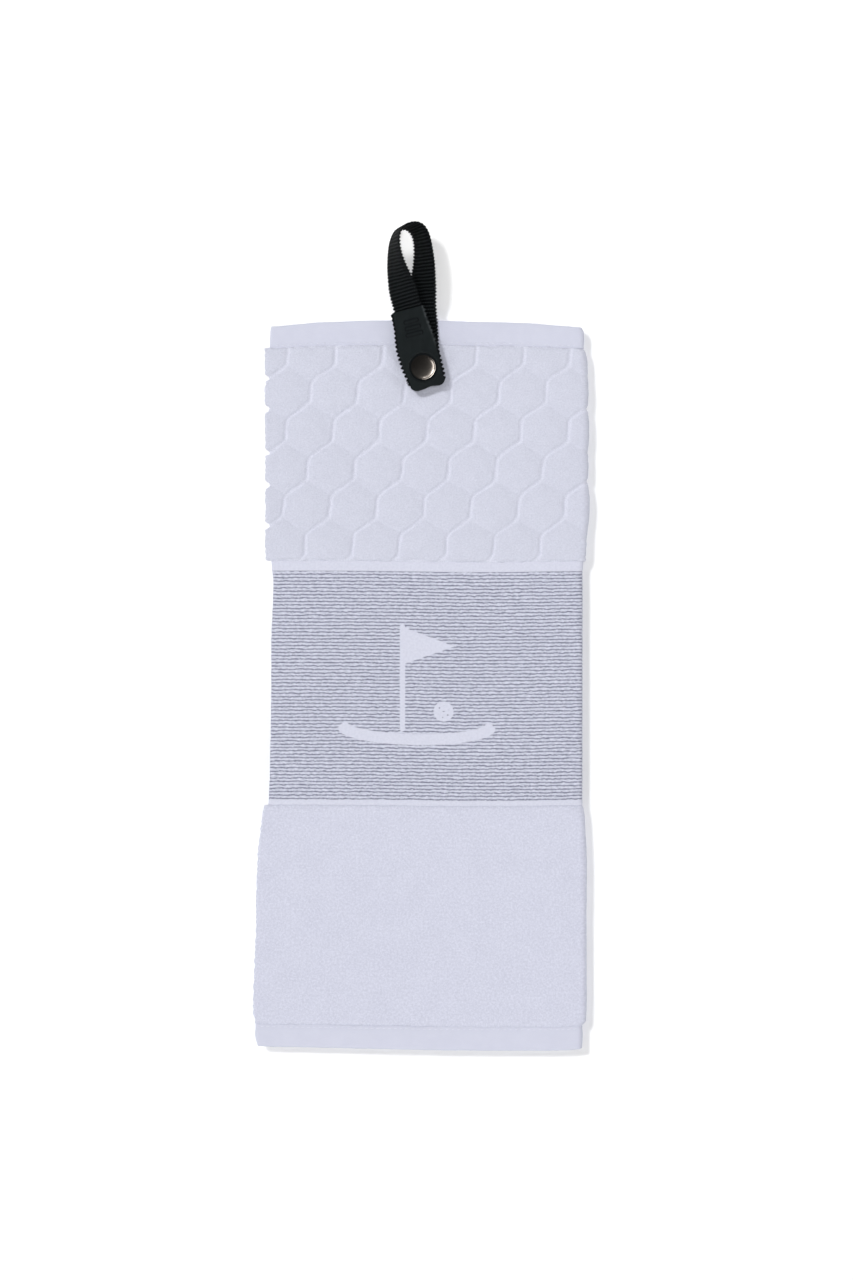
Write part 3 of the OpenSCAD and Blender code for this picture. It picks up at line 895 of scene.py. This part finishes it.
def cloth_face(zone, part, face, steps, rows, lines):
    """Points, uvw, fields and unrolled places of one face (1 front, -1 back) of a piece."""
    along = lines.columns(part, steps)
    z = np.broadcast_to(rows[:, None], along.shape)
    right, middle = lines.right[:, None], lines.middle[:, None]
    turn, back = lines.turn[:, None], lines.back[:, None]
    x, y, normal_x, normal_y = fold_points(along, lines)
    height, *fields = zone.relief(along, z, face)

    # covered faces are pressed level, and the pile inside a fold is crushed flat
    covered = along > middle if face > 0 else along <= back
    height = np.where(covered, np.minimum(height, 0.02), height)
    start, end = (right, middle) if face < 0 else (turn, back)
    inner = 1 - smooth(0, 3.0, np.maximum(start - along, along - end))
    height = height * (1 - inner) + np.minimum(height, -0.02) * inner

    # the free side edge is rounded; the zone's two z ends are less so, except at a hem
    if part == "front":
        inset = along - lines.front_edge[:, None]
    else:
        inset = lines.back_edge[:, None] - along
    radius = min(zone.thick / 2, 0.95)
    ends = [(rows[0], zone.name == "top_hem"), (rows[-1], zone.name == "bottom_hem")]
    fullness = np.maximum(quarter_round(inset, radius), 0.10)
    for end_z, is_open in ends:
        least = 0.10 if is_open else 0.84
        fullness = fullness * (least + (1 - least) * quarter_round(np.abs(z - end_z), radius))
    offset = face * (zone.thick / 2 + height) * fullness
    x, y = x + normal_x * offset, y + normal_y * offset
    if part == "front" and face > 0:
        y = y + front_wave(x, z) * (along < right)
        y = press_under_strap(x, y, z, along < right)
    ripple = 0.0
    for end_z, is_open in ends:
        amount = (0.25 if is_open else 1) * (1 - smooth(0, 3, np.abs(z - end_z)))
        ripple = ripple + 0.28 * noise(x / 2.2, np.round(end_z), 85) * amount
    points = np.stack([x + MID_X, y, warp_z(np.clip(x, -98, 92), z) + ripple], -1)
    side = 0.0 if face > 0 else 500.0          # keeps the textures of the two faces apart
    uvw = np.stack([along + side, z, np.full_like(along, side)], -1)
    fields = [np.broadcast_to(field, along.shape).ravel() for field in fields]
    return points.reshape(-1, 3), uvw.reshape(-1, 3), fields, along


def shell_faces(row_count, front, rear):
    """Faces of a closed shell round two grids that share their rows."""
    n_front, n_rear = front.shape[1], rear.shape[1]
    base = row_count * n_front
    faces = grid_quads(row_count, n_front) + grid_quads(row_count, n_rear, base, flip=True)
    place_f = (front[0] - front[0][0]) / (front[0][-1] - front[0][0])
    place_r = (rear[0] - rear[0][0]) / (rear[0][-1] - rear[0][0])
    line_f, line_r = np.arange(n_front), base + np.arange(n_rear)
    faces += strip_between(line_r.tolist(), place_r, line_f.tolist(), place_f)
    last_f = (line_f + (row_count - 1) * n_front).tolist()
    last_r = (line_r + (row_count - 1) * n_rear).tolist()
    faces += strip_between(last_f, place_f, last_r, place_r)
    for k in range(row_count - 1):
        a, b = k * n_front, base + k * n_rear
        faces.append([a, a + n_front, b + n_rear, b])
        a, b = a + n_front - 1, b + n_rear - 1
        faces.append([b, b + n_rear, a + n_front, a])
    return faces


def weld_cloth(mesh):
    bm = bmesh.new()
    bm.from_mesh(mesh)
    bmesh.ops.remove_doubles(bm, verts=bm.verts, dist=1e-7)
    bmesh.ops.recalc_face_normals(bm, faces=bm.faces)
    # the two pieces of a zone meet with square ends: no shading across that corner
    for edge in bm.edges:
        on_seam = all(abs(v.co.x - MID_X * MM) < 2e-4 for v in edge.verts)
        if on_seam and len(edge.link_faces) == 2 and edge.calc_face_angle(0.0) > 0.8:
            edge.smooth = False
    bm.to_mesh(mesh)
    bm.free()


def cloth_piece(zone, part):
    if part == "front":
        front_steps, rear_steps = zone.front_steps, (zone.rear_steps[0],) * 2
    else:
        front_steps, rear_steps = (zone.front_steps[1],) * 2, zone.rear_steps
    rows = zone_rows(zone)
    lines = FoldLines(zone, rows)
    front = cloth_face(zone, part, 1, front_steps, rows, lines)
    rear = cloth_face(zone, part, -1, rear_steps, rows, lines)
    attributes = {"uvw": np.concatenate([front[1], rear[1]])}
    for key, on_front, on_rear in zip(("pile", "rib", "mark"), front[2], rear[2]):
        attributes[key] = np.concatenate([on_front, on_rear])
    ob = mesh_object(f"towel_{part}_{zone.name}", np.concatenate([front[0], rear[0]]),
                     shell_faces(len(rows), front[3], rear[3]), attributes)
    weld_cloth(ob.data)
    return ob


def build_towel():
    gap_start = (TERRY + 0.04) * MM      # just behind the front layer
    gap_end = (PITCH - 0.04) * MM        # just before the middle layer
    for zone in ZONES:
        for part, first, second, shift in (("front", "front", "middle", 0.0),
                                           ("back", "middle", "back", PITCH * MM)):
            ob = cloth_piece(zone, part)
            ob.data.materials.append(zone.material)
            gap_start + shift
            gap_end + shift
            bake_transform(ob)
            if part == "front":
                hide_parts(f"front_{zone.node}", f"middle_{zone.node}")
            else:
                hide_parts(f"back_{zone.node}")


# ------------------------------------------------------------ hem stitches

STITCH_PITCH, STITCH_LENGTH, THREAD_R = 3.2, 2.35, 0.24
STITCH_SINK = 0.16                   # of the stitch lines into the hem's faces


def stitch_line(points, faces, x_start, x_end, z, y, face):
    """Adds a line of thread dashes that dive into the cloth at both ends."""
    segments, sides = 7, 6
    count = int((x_end - x_start) / STITCH_PITCH)
    for i in range(count):
        centre = x_start + (i + 0.5) * (x_end - x_start) / count
        jitter = 0.10 * float(noise(centre / 2.7, z, 91))
        start = len(points)
        for k in range(segments + 1):
            t = k / segments
            radius = THREAD_R * sqrt(max(0.02, 1 - (2 * t - 1) ** 6))
            x = centre + (t - 0.5) * STITCH_LENGTH
            axis_y = y + face * (0.02 - 0.34 * (2 * t - 1) ** 4)
            axis_y += float(front_wave(x, z)) if y < 1.0 else 0.0
            axis_z = float(warp_z(x, z)) + jitter + (t - 0.5) * 0.12
            for q in range(sides):
                turn = 2 * pi * q / sides
                points.append((x + MID_X, axis_y + radius * cos(turn),
                               axis_z + radius * sin(turn)))
        for k in range(segments):
            for q in range(sides):
                a = start + k * sides + q
                b = start + k * sides + (q + 1) % sides
                faces.append([a, b, b + sides, a + sides])
        faces.append([start + q for q in range(sides)][::-1])
        faces.append([start + segments * sides + q for q in range(sides)])


def build_stitching():
    z_upper, z_lower = Z_HONEYCOMB + 1.35, Z_HEM - 1.3
    inset = (TERRY - HEM_THICK) / 2 + STITCH_SINK
    # third, left end of the upper and of the lower line, right end of both
    thirds = (("front", -85.5, -94.0, 84.0), ("middle", -82.0, -82.0, 83.0),
              ("back", -82.0, -82.0, 82.5))
    for k, (third, upper_start, lower_start, x_end) in enumerate(thirds):
        points, faces = [], []
        for y, face in ((k * PITCH + inset, -1), (k * PITCH + TERRY - inset, 1)):
            stitch_line(points, faces, upper_start, x_end, z_upper, y, face)
            stitch_line(points, faces, lower_start, x_end, z_lower, y, face)
        ob = mesh_object(f"{third}_stitching", np.array(points), faces)
        dress(ob, THREAD_MAT)
        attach(ob, f"{third}_panel")
        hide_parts(f"{third}_hem_stitches")


# ------------------------------------------------------------ strap
# x and z are counted from the snap's axis.

LEAN = radians(14.7)                 # of the tab and the strap's free end, to the left
FIXED_LEAN = radians(3.5)            # of the strap's fixed end
WEB_THICK = 1.5
WEB_HALF = 9.48
Y_FREE, Y_FIXED = -5.05, -0.85


def tab_point(up, across=0.0):
    return -sin(LEAN) * up + cos(LEAN) * across, cos(LEAN) * up + sin(LEAN) * across


def free_station(up, half=WEB_HALF):
    x, z = tab_point(up)
    return x, Y_FREE, z, half * cos(LEAN), half * sin(LEAN)


def fixed_station(up, shift=0.0):
    return (-sin(FIXED_LEAN) * up + shift, Y_FIXED, cos(FIXED_LEAN) * up,
            WEB_HALF * cos(FIXED_LEAN), WEB_HALF * sin(FIXED_LEAN))


# centre x, y, z; x and z of the half width, whose y follows from its length
STATIONS = np.array([
    free_station(-10.6), free_station(8.0), free_station(22.0), free_station(33.5, 8.9),
    (-10.2, -4.95, 39.0, 8.1, 2.0), (-11.9, -4.6, 45.0, 7.3, 1.5),
    (-13.4, -4.0, 51.0, 6.4, 0.9), (-14.9, -3.1, 57.0, 5.2, 0.4),
    (-15.9, -2.1, 63.5, 3.9, 0.1), (-16.1, -1.2, 70.0, 2.95, 0.1),
    (-15.0, -0.6, 75.2, 2.5, 0.4), (-12.4, -0.2, 78.5, 3.3, 0.9),
    (-8.3, 0.0, 79.8, 4.3, 1.1), (-4.3, 0.0, 78.5, 4.5, 0.8),
    (-1.7, 0.0, 75.0, 4.6, 0.4), (-0.3, -0.1, 69.5, 4.9, 0.1),
    (0.3, -0.3, 63.0, 5.5, 0.0), (0.35, -0.5, 56.5, 6.2, 0.0),
    (-0.2, -0.7, 50.0, 7.1, 0.0), (-1.3, Y_FIXED, 43.0, 8.5, 0.3),
    fixed_station(36, shift=-0.1), fixed_station(26), fixed_station(14), fixed_station(0),
    fixed_station(-8),
])


def strap_spline(t):
    """Catmull-Rom curve through the stations; it runs straight on at both ends."""
    last = len(STATIONS) - 1
    i = np.clip(np.floor(t).astype(int), 0, last - 1)
    f = (t - i)[:, None]
    before, start, end, after = (STATIONS[np.clip(i + k, 0, last)] for k in (-1, 0, 1, 2))
    before = np.where((i == 0)[:, None], 2 * start - end, before)
    after = np.where((i == last - 1)[:, None], 2 * end - start, after)
    return 0.5 * (2 * start + (end - before) * f
                  + (2 * before - 5 * start + 4 * end - after) * f ** 2
                  + (3 * start - before - 3 * end + after) * f ** 3)


DENSE_T = np.linspace(0, len(STATIONS) - 1, 4000)
DENSE = strap_spline(DENSE_T)
dense_steps = np.linalg.norm(np.diff(DENSE[:, :3], axis=0), axis=1)
DENSE_ARC = np.concatenate([[0], np.cumsum(dense_steps)])


def arc_at(up):
    """Length along the strap where it first passes this height on the tab's line."""
    heights = DENSE[:, 0] * -sin(LEAN) + DENSE[:, 2] * cos(LEAN)
    return float(DENSE_ARC[int(np.argmax(heights > up))])


SPLIT = arc_at(49.0)                 # where the loop leaves the lifting free end
BEHIND = arc_at(33.0)                # below this the strap is behind the tab, and narrower


def ribbon_frame(arc):
    """Centre, unit width and unit normal of the ribbon at lengths along it."""
    def at(lengths):
        return strap_spline(np.interp(lengths, DENSE_ARC, DENSE_T))
    place = at(arc)
    half_x, half_z = place[:, 3], place[:, 4]
    half_y = -np.sqrt(np.maximum(0, WEB_HALF ** 2 - half_x ** 2 - half_z ** 2))
    width = np.stack([half_x, half_y, half_z], -1)
    width /= np.linalg.norm(width, axis=1)[:, None]
    tangent = at(arc + 0.4)[:, :3] - at(arc - 0.4)[:, :3]
    tangent /= np.linalg.norm(tangent, axis=1)[:, None]
    normal = np.cross(tangent, width)
    normal /= np.linalg.norm(normal, axis=1)[:, None]
    return place[:, :3], width, normal


def webbing(name, start, end):
    """Ribbon between two lengths: cross ribs, cords and scalloped long edges, closed."""
    arc = np.linspace(start, end, int((end - start) / 0.215) + 1)
    centre, width, normal = (part[:, None, :] for part in ribbon_frame(arc))
    columns = 27
    across = np.linspace(-1, 1, columns)
    across = np.sign(across) * (1 - (1 - np.abs(across)) ** 1.25)      # denser at the edges
    along, across = np.meshgrid(arc, across, indexing="ij")
    out = np.abs(across)
    phase = along / WEB_RIB + 0.10 * noise(across * 3.0, along / WEB_RIB * 0.8, 101)
    rib = 0.5 + 0.5 * np.cos(2 * pi * phase)
    selvedge = smooth(0.86, 0.99, out)
    height = (0.56 * (rib ** 0.8 - 0.5) + 0.08 * np.cos(2 * pi * across * 9.5 / 1.55)
              + 0.04 * noise(across * 14, along / 0.8, 102))
    rear_height = 0.46 * ((1 - rib) ** 0.8 - 0.5) * (1 - 0.4 * selvedge)
    thick = WEB_THICK / 2 - 0.22
    profile = (np.sqrt(np.clip(1 - np.clip((out - 0.93) / 0.07, 0, 1) ** 2, 0.02, 1))
               * (1 - smooth(0.80, 0.95, out) * 0.45 * (1 - rib)))
    half = (WEB_HALF + 1.05 * rib ** 0.5 * selvedge - 0.70 * selvedge
            - 1.25 * (1 - smooth(BEHIND - 1.0, BEHIND + 15.0, along)))
    base = centre + width * (across * half)[..., None]
    top = base + normal * ((thick + height) * profile)[..., None]
    bottom = base - normal * ((thick + rear_height) * profile)[..., None]
    points = np.concatenate([top.reshape(-1, 3), bottom.reshape(-1, 3)])
    points = points + np.array([SNAP_X, 0, SNAP_Z])

    rows = len(arc)
    under = rows * columns
    faces = grid_quads(rows, columns) + grid_quads(rows, columns, under, flip=True)
    for i in range(rows - 1):
        a, b = i * columns, i * columns + columns - 1
        faces.append([a, a + columns, under + a + columns, under + a])
        faces.append([b + columns, b, under + b, under + b + columns])
    for j in range(columns - 1):
        k = (rows - 1) * columns + j
        faces.append([j + 1, under + j + 1, under + j, j])
        faces.append([under + k, under + k + 1, k + 1, k])
    uvw = [np.stack([along, across * WEB_HALF + shift, np.full_like(along, layer)], -1)
           .reshape(-1, 3) for shift, layer in ((0, 0), (40, 9))]
    # row marks each face's rib crowns, which the material paints as a highlight
    row = np.concatenate([rib.ravel(), (1 - rib).ravel()])
    ob = mesh_object(name, points, faces, {"uvw": np.concatenate(uvw), "row": row},
                     outward=True)
    dress(ob, WEBBING_MAT)
    return ob


def build_strap():
    loop = webbing("strap_loop", SPLIT, DENSE_ARC[-1])
    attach(loop, "strap")
    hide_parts("strap_webbing")
    free = webbing("strap_free_strand", 2.4, SPLIT)
    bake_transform(free)
    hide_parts("strap_free_end")


# ------------------------------------------------------------ rubber pull tab
# Drawn upright round the snap's axis, then leaned.

TAB_UP, TAB_DOWN, TAB_HALF = 33.4, 12.1, 9.8
TAB_BACK, TAB_FACE = -5.88, -7.8     # y of its back and front
RECESS_R = 7.95                      # round recess for the cap
HOLE_R = 1.45
SKIRT_Y = TAB_FACE + 0.62
SCALLOP = 2.48
OUTLINE_STEP = 0.22
# z, scale of the width, extra half width on the left and on the right
TAB_Z, TAB_SCALE, TAB_LEFT, TAB_RIGHT = np.array([
    (-12, 0.95, 0.4, 0.9), (-9, 0.97, 0.5, 0.9), (-4, 1.04, 0.6, 0.6),
    (2, 1.10, 1.1, 0.2), (12, 1.12, 1.3, 0.0), (18, 1.08, 0.9, 0.0),
    (24, 1.00, 0.6, 0.0), (29, 0.97, 0.6, 0.0), (34, 0.95, 0.6, 0.0),
]).T


def tab_side(z):
    """0 at the tab's lower end, 1 where its long sides are scalloped."""
    return smooth(-TAB_DOWN + 1.9, -TAB_DOWN + 5.0, z)


def tab_outline():
    """Two closed outlines, point for point: the smooth raised face, and the outer edge,
    scalloped down both long sides. The lower end is softly waved, with round corners."""
    half, low, top = TAB_HALF, -TAB_DOWN, TAB_UP
    corner, small = 4.2, 0.8

    def arc(centre_x, centre_z, radius, start, end, count):
        turns = [radians(start + (end - start) * i / count) for i in range(count)]
        return [(centre_x + radius * cos(a), centre_z + radius * sin(a)) for a in turns]

    def line(x0, z0, x1, z1):
        count = max(1, int(hypot(x1 - x0, z1 - z0) / OUTLINE_STEP))
        return [(x0 + (x1 - x0) * i / count, z0 + (z1 - z0) * i / count)
                for i in range(count)]
    outer = np.array(
        arc(-half + corner, low + corner, corner, 180, 270, 20)
        + line(-half + corner, low, half - corner, low)
        + arc(half - corner, low + corner, corner, 270, 360, 20)
        + line(half, low + corner, half - 0.5, top - small)
        + arc(half - 1.3, top - small, small, 0, 90, 6)
        + line(half - 1.3, top, -half + 1.1, top)
        + arc(-half + 1.1, top - small, small, 90, 180, 6)
        + line(-half + 0.3, top - small, -half, low + corner))
    x, z = outer[:, 0].copy(), outer[:, 1].copy()
    scale = np.interp(z, TAB_Z, TAB_SCALE)
    extra = np.where(x < 0, np.interp(z, TAB_Z, TAB_LEFT), np.interp(z, TAB_Z, TAB_RIGHT))
    x = x * scale + extra * np.clip(x / 6.0, -1, 1)
    side = half * scale + extra
    scalloped = tab_side(z)
    on_side = scalloped * smooth(-1.1, -0.35, np.abs(x) - side)
    z = z + np.where(z < low + 2.0, 0.75 * np.exp(-((x - 1.5) / 3.6) ** 2), 0)
    face_x = np.sign(x) * np.minimum(np.abs(x), side - 1.05 * scalloped)
    tooth = (0.5 + 0.5 * np.cos(2 * pi * (z + 1.1 * (x > 0)) / SCALLOP)) ** 0.60
    outer_x = x + np.sign(x) * (1.50 * tooth - 0.95) * on_side
    return np.stack([face_x, z], -1), np.stack([outer_x, z], -1)


def grip_bar_distances(x, z):
    """Distances to the centre lines of the three grip bars above the recess."""
    return [segment_distance(x, z, (-3.9 + 0.35 * k, 19.2 + 3.6 * k),
                             (3.9 - 0.35 * k, 19.2 + 3.6 * k)) for k in range(3)]


def tab_surface(x, z):
    """Height of the rubber's front over its flat level: grip bars, a rim at the recess."""
    height = np.zeros_like(x)
    for bar in grip_bar_distances(x, z):
        height = height + 0.55 * (1 - smooth(0.50, 1.15, bar))
    height = height + 0.22 * np.exp(-((np.hypot(x, z) - (RECESS_R + 1.0)) / 0.55) ** 2)
    return height + 0.05 * noise(x / 4.0, z / 4.0, 111)


def tab_face_ring(inner, t):
    """One ring of the front face, at fraction t from the recess to the inner outline."""
    angle = np.arctan2(inner[:, 1], inner[:, 0])
    rim = np.stack([RECESS_R * np.cos(angle), RECESS_R * np.sin(angle)], -1)
    ring = rim * (1 - t) + inner * t
    x, z = ring[:, 0], ring[:, 1]
    edge = np.full(len(inner), 9.0)
    for i in range(0, len(inner), 2):
        edge = np.minimum(edge, np.hypot(x - inner[i, 0], z - inner[i, 1]))
    if t > 0.999:
        edge = np.where(edge < 0.16, 0.0, edge)
    from_rim = np.clip(np.linalg.norm(ring, axis=1) - RECESS_R, 0, 9)
    # painted shade along the flanks of the grip bars
    flank = np.zeros(len(inner))
    for bar in grip_bar_distances(x, z):
        flank = np.maximum(flank, np.exp(-((bar - 0.95) / 0.32) ** 2))
    y = (TAB_FACE + 0.40 * (1 - quarter_round(edge, 0.45))
         + 0.35 * (1 - quarter_round(from_rim, 0.35))
         - tab_surface(x, z) * smooth(0.5, 1.2, edge))
    return ring, y, 0.9 * flank


def build_tab():
    inner, outer = tab_outline()
    count = len(outer)
    angle = np.arctan2(inner[:, 1], inner[:, 0])
    circle = np.stack([np.cos(angle), np.sin(angle)], -1)
    side = tab_side(inner[:, 1]) * smooth(0.0, 0.3, np.linalg.norm(outer - inner, axis=1))
    # rings of (outline, y, darkness of painted shade): the low scalloped skirt, from the outer
    # edge in, painted dark as shade
    rings = [(outer, SKIRT_Y + 0.42, 0.9 * side), (outer * 0.997, SKIRT_Y + 0.24, 0.9 * side)]
    for f in (0.12, 0.35, 0.65, 0.92):
        rings.append((outer * (1 - f) + inner * f,
                      SKIRT_Y + 0.12 * (1 - f) ** 2 - 0.03 * f, 0.85 * side))
    rings.append((inner, TAB_FACE + 0.50, 0.55 * side))
    # the front face, from its edge to the recess
    fractions = np.concatenate([[0.0, 0.006, 0.016, 0.035], np.linspace(0.06, 0.93, 50),
                                [0.95, 0.97, 0.985, 0.993, 1.0]])
    rings += [tab_face_ring(inner, t) for t in fractions[::-1]]
    # the recess and the hole, painted half dark as shade in the recess, then the flat back
    for radius, depth in ((RECESS_R - 0.02, 0.6), (RECESS_R - 0.05, 0.85),
                          (RECESS_R - 0.25, 0.98), (6.6, 1.0), (3.0, 1.0), (HOLE_R, 1.0)):
        rings.append((circle * radius, TAB_FACE + depth, 0.5))
    hole = circle * HOLE_R
    rings.append((hole, TAB_BACK, 0.0))
    for f in (0.25, 0.5, 0.75, 0.97):
        rings.append((hole * (1 - f) + outer * 0.985 * f, TAB_BACK, 0.0))
    rings += [(outer * 0.995, TAB_BACK, 0.0), (outer, TAB_BACK - 0.22, 0.0)]

    faces = []
    for k in range(len(rings)):
        a, b = k * count, (k + 1) % len(rings) * count
        for i in range(count):
            j = (i + 1) % count
            faces.append([a + i, a + j, b + j, b + i])
    x, z = np.concatenate([ring for ring, _, _ in rings]).T
    y = np.concatenate([np.broadcast_to(level, count) for _, level, _ in rings])
    # the darkness of each ring is painted shade
    dark = np.concatenate([np.broadcast_to(shade, count) for _, _, shade in rings])
    # the bevel of the upper right edge is painted pale: a painted highlight where it catches the
    # light
    bevel = np.interp(z, TAB_Z, TAB_SCALE) * TAB_HALF + np.interp(z, TAB_Z, TAB_RIGHT) - 1.00
    bevel_highlight = np.exp(-((x - bevel) / 0.60) ** 2) * smooth(8, 14, z) * (y < TAB_FACE + 1.2)
    bevel_highlight = np.clip(bevel_highlight * (0.75 + 0.5 * noise(z / 0.9, x / 2.0, 112)), 0, 1)
    # the upper right part comes forward a little
    y = y - 0.85 * smooth(12, 36, z) * smooth(-5, 16, x)
    lean_x, lean_z = tab_point(z, x)
    ob = mesh_object("pull_tab", np.stack([SNAP_X + lean_x, y, SNAP_Z + lean_z], -1), faces,
                     {"dark": dark * (1 - bevel_highlight), "bevel_highlight": bevel_highlight}, outward=True)
    dress(ob, RUBBER_MAT)
    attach(ob, "tab")
    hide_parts("rubber_tab")


# ------------------------------------------------------------ snap

def lathe(name, profile, sides=112):
    """Solid turned round the snap's axis; the (radius, y) profile ends on the axis."""
    points = [(SNAP_X, profile[0][1], SNAP_Z)]
    for radius, y in profile[1:-1]:
        for k in range(sides):
            turn = 2 * pi * k / sides
            points.append((SNAP_X + radius * cos(turn), y, SNAP_Z + radius * sin(turn)))
    points.append((SNAP_X, profile[-1][1], SNAP_Z))
    pairs = [(k, (k + 1) % sides) for k in range(sides)]
    last_ring, last = len(points) - 1 - sides, len(points) - 1
    faces = [[0, 1 + k, 1 + after] for k, after in pairs]
    for a in range(1, last_ring, sides):
        b = a + sides
        faces += [[a + k, b + k, b + after, a + after] for k, after in pairs]
    faces += [[last_ring + k, last, last_ring + after] for k, after in pairs]
    return mesh_object(name, np.array(points), faces, outward=True)


def build_cap():
    crown_y, dome_drop, dome_angle = -8.45, 0.95, radians(60)
    profile = [(0.0, crown_y)]
    for degrees in range(4, 61, 4):                # shallow dome
        a = radians(degrees)
        profile.append(((CAP_R - 0.7) * sin(a) / sin(dome_angle),
                        crown_y + dome_drop * (1 - cos(a)) / 0.5))
    for degrees in range(15, 181, 15):             # rolled rim
        a = radians(degrees)
        profile.append((CAP_R - 0.55 + 0.55 * sin(a), -7.20 - 0.32 * cos(a)))
    # flat rear and the stem
    profile += [(5.0, -6.86), (1.2, -6.86), (1.2, -3.95), (0.9, -3.90), (0.0, -3.90)]
    cap = lathe("cap_dome", profile)
    dress(cap, CAP_MAT)
    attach(cap, "tab")
    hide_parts("snap_cap")
    return cap


def dress_snap_parts():
    for node, material in (("snap_stud", PLATED_MAT), ("snap_post", PLATED_MAT),
                           ("backing_washer", PLATED_MAT), ("snap_socket", PLATED_MAT),
                           ("socket_spring", SPRING_MAT)):
        ob = frame["nodes"][node]
        if not ob.material_slots:
            ob.data.materials.append(material)
        for slot in ob.material_slots:
            slot.material = material


# ------------------------------------------------------------ stage, light and camera

def table_material():
    sh = new_shader("pale_table")
    place = sh.object_place()
    color = sh.mix(sh.noise(place, scale=3.0), (0.905, 0.905, 0.905), (0.915, 0.915, 0.915))
    diffuse = sh.node("ShaderNodeBsdfDiffuse", {"Color": color})

    def distance_from(x, z):
        centre = ((SNAP_X + x) * MM, TABLE_Y * MM, (SNAP_Z + z) * MM)
        return sh.vector_math("DISTANCE", place, centre).out("Value")
    # a little light is added round the strap's loop, more inside its eye
    halo = sh.ramp(distance_from(2.0, 62.0), span=(0.026, 0.060), to=(0.16, 0.0))
    eye = sh.ramp(distance_from(-9.5, 73.0), span=(0.004, 0.013), to=(0.34, 0.0))
    glow = sh.node("ShaderNodeEmission", {"Strength": halo + eye})
    lit = sh.node("ShaderNodeAddShader", {0: diffuse, 1: glow})
    # clear from behind, to shadow rays, and to the camera when seen edge-on
    geometry = sh.node("ShaderNodeNewGeometry")
    rays = sh.node("ShaderNodeLightPath")
    clear = sh.math("MAXIMUM", geometry.out("Backfacing"), rays.out("Is Shadow Ray"))
    facing = sh.vector_math("DOT_PRODUCT", geometry.out("Incoming"), geometry.out("Normal"))
    edge_on = sh.math("LESS_THAN", sh.math("ABSOLUTE", facing.out("Value")), 0.25)
    clear = sh.math("MAXIMUM", clear, edge_on * rays.out("Is Camera Ray"))
    transparent = sh.node("ShaderNodeBsdfTransparent")
    return sh.output(sh.node("ShaderNodeMixShader", {0: clear, 1: lit, 2: transparent}))


def floor_material():
    sh = Shader(bpy.data.materials.new("pale_floor"), clear=False)
    color = sh.mix(sh.noise(sh.object_place(), scale=2.0), (0.90, 0.90, 0.90),
                   (0.92, 0.92, 0.92))
    sh.feed(sh.tree.nodes["Principled BSDF"], {"Base Color": color, "Roughness": 0.9})
    return sh.owner


def stage_plane(name, corners, material):
    ob = mesh_object(name, np.array(corners), [[0, 1, 2, 3]], flat=True)
    ob.data.materials.append(material)


def build_stage():
    left, right, low, high = MID_X - 900, MID_X + 900, -1000, 600
    stage_plane("pale_table_top", [(left, TABLE_Y, low), (right, TABLE_Y, low),
                                   (right, TABLE_Y, high), (left, TABLE_Y, high)],
                table_material())
    far, floor_z = 40000, -1010
    stage_plane("pale_floor", [(-far, -far, floor_z), (far, -far, floor_z),
                               (far, far, floor_z), (-far, far, floor_z)], floor_material())


def build_world(strength=0.39):
    """White world: full strength to the camera, weaker as light."""
    world = bpy.data.worlds.new("studio")
    bpy.context.scene.world = world
    sh = Shader(world)
    camera_ray = sh.node("ShaderNodeLightPath").out("Is Camera Ray")
    seen = sh.math("MULTIPLY_ADD", camera_ray, 1 - strength, strength)
    background = sh.node("ShaderNodeBackground", {"Color": (1, 1, 1), "Strength": seen})
    sh.output(background, "ShaderNodeOutputWorld")


def add_light(name, kind, direction):
    data = bpy.data.lights.new(name, kind)
    ob = bpy.data.objects.new(name, data)
    bpy.context.scene.collection.objects.link(ob)
    ob.rotation_mode = "QUATERNION"
    ob.rotation_quaternion = direction.to_track_quat("-Z", "Y")
    return data, ob


def sun_light(name, direction, strength, angle):
    data, ob = add_light(name, "SUN", Vector(direction).normalized())
    data.energy = strength * pi
    data.angle = radians(angle)
    ob.visible_glossy = False


def metal_card(name, place, energy, receivers):
    """A warm square light that only shows as a reflection in the receivers."""
    direction = Vector((SNAP_X, 0, SNAP_Z)) - Vector(place)
    data, ob = add_light(name, "AREA", direction)
    data.shape = "RECTANGLE"
    data.size = data.size_y = 0.72
    data.energy = energy
    data.color = (1.0, 0.95, 0.91)
    ob.location = Vector(place) * MM
    ob.visible_diffuse = False
    ob.visible_camera = False
    ob.light_linking.receiver_collection = receivers


def build_lights(cap):
    sun_light("front_soft", direction=(0.0, 1.0, 0.0), strength=0.30, angle=6)
    sun_light("key_left", direction=(0.52, 1.0, -0.44), strength=0.465, angle=9)
    sun_light("rear_soft", direction=(-0.35, -1.0, -0.45), strength=0.70, angle=12)
    metal_only = bpy.data.collections.new("metal_only")
    metal_only.objects.link(cap)
    # angle round the snap's axis in degrees, energy
    for k, (degrees, energy) in enumerate(((-72, 90.0), (-30, 250.0), (14, 110.0))):
        turn = radians(degrees)
        place = (SNAP_X + 900 * cos(turn), -620, SNAP_Z + 900 * sin(turn))
        metal_card(f"metal_card_{k}", place, energy=energy, receivers=metal_only)


def build_camera():
    data = bpy.data.cameras.new("camera")
    data.lens = 100
    data.sensor_width = 36
    camera = bpy.data.objects.new("camera", data)
    bpy.context.scene.collection.objects.link(camera)
    camera.location = Vector((MID_X - 0.56, -1987.5, Z_TOP - 177.8)) * MM
    camera.rotation_euler = (radians(90), 0, 0)
    bpy.context.scene.camera = camera
    bpy.context.scene.view_settings.view_transform = "Standard"


build_towel()
build_stitching()
build_strap()
build_tab()
snap_cap = build_cap()
dress_snap_parts()
build_stage()
build_world()
build_lights(snap_cap)
build_camera()
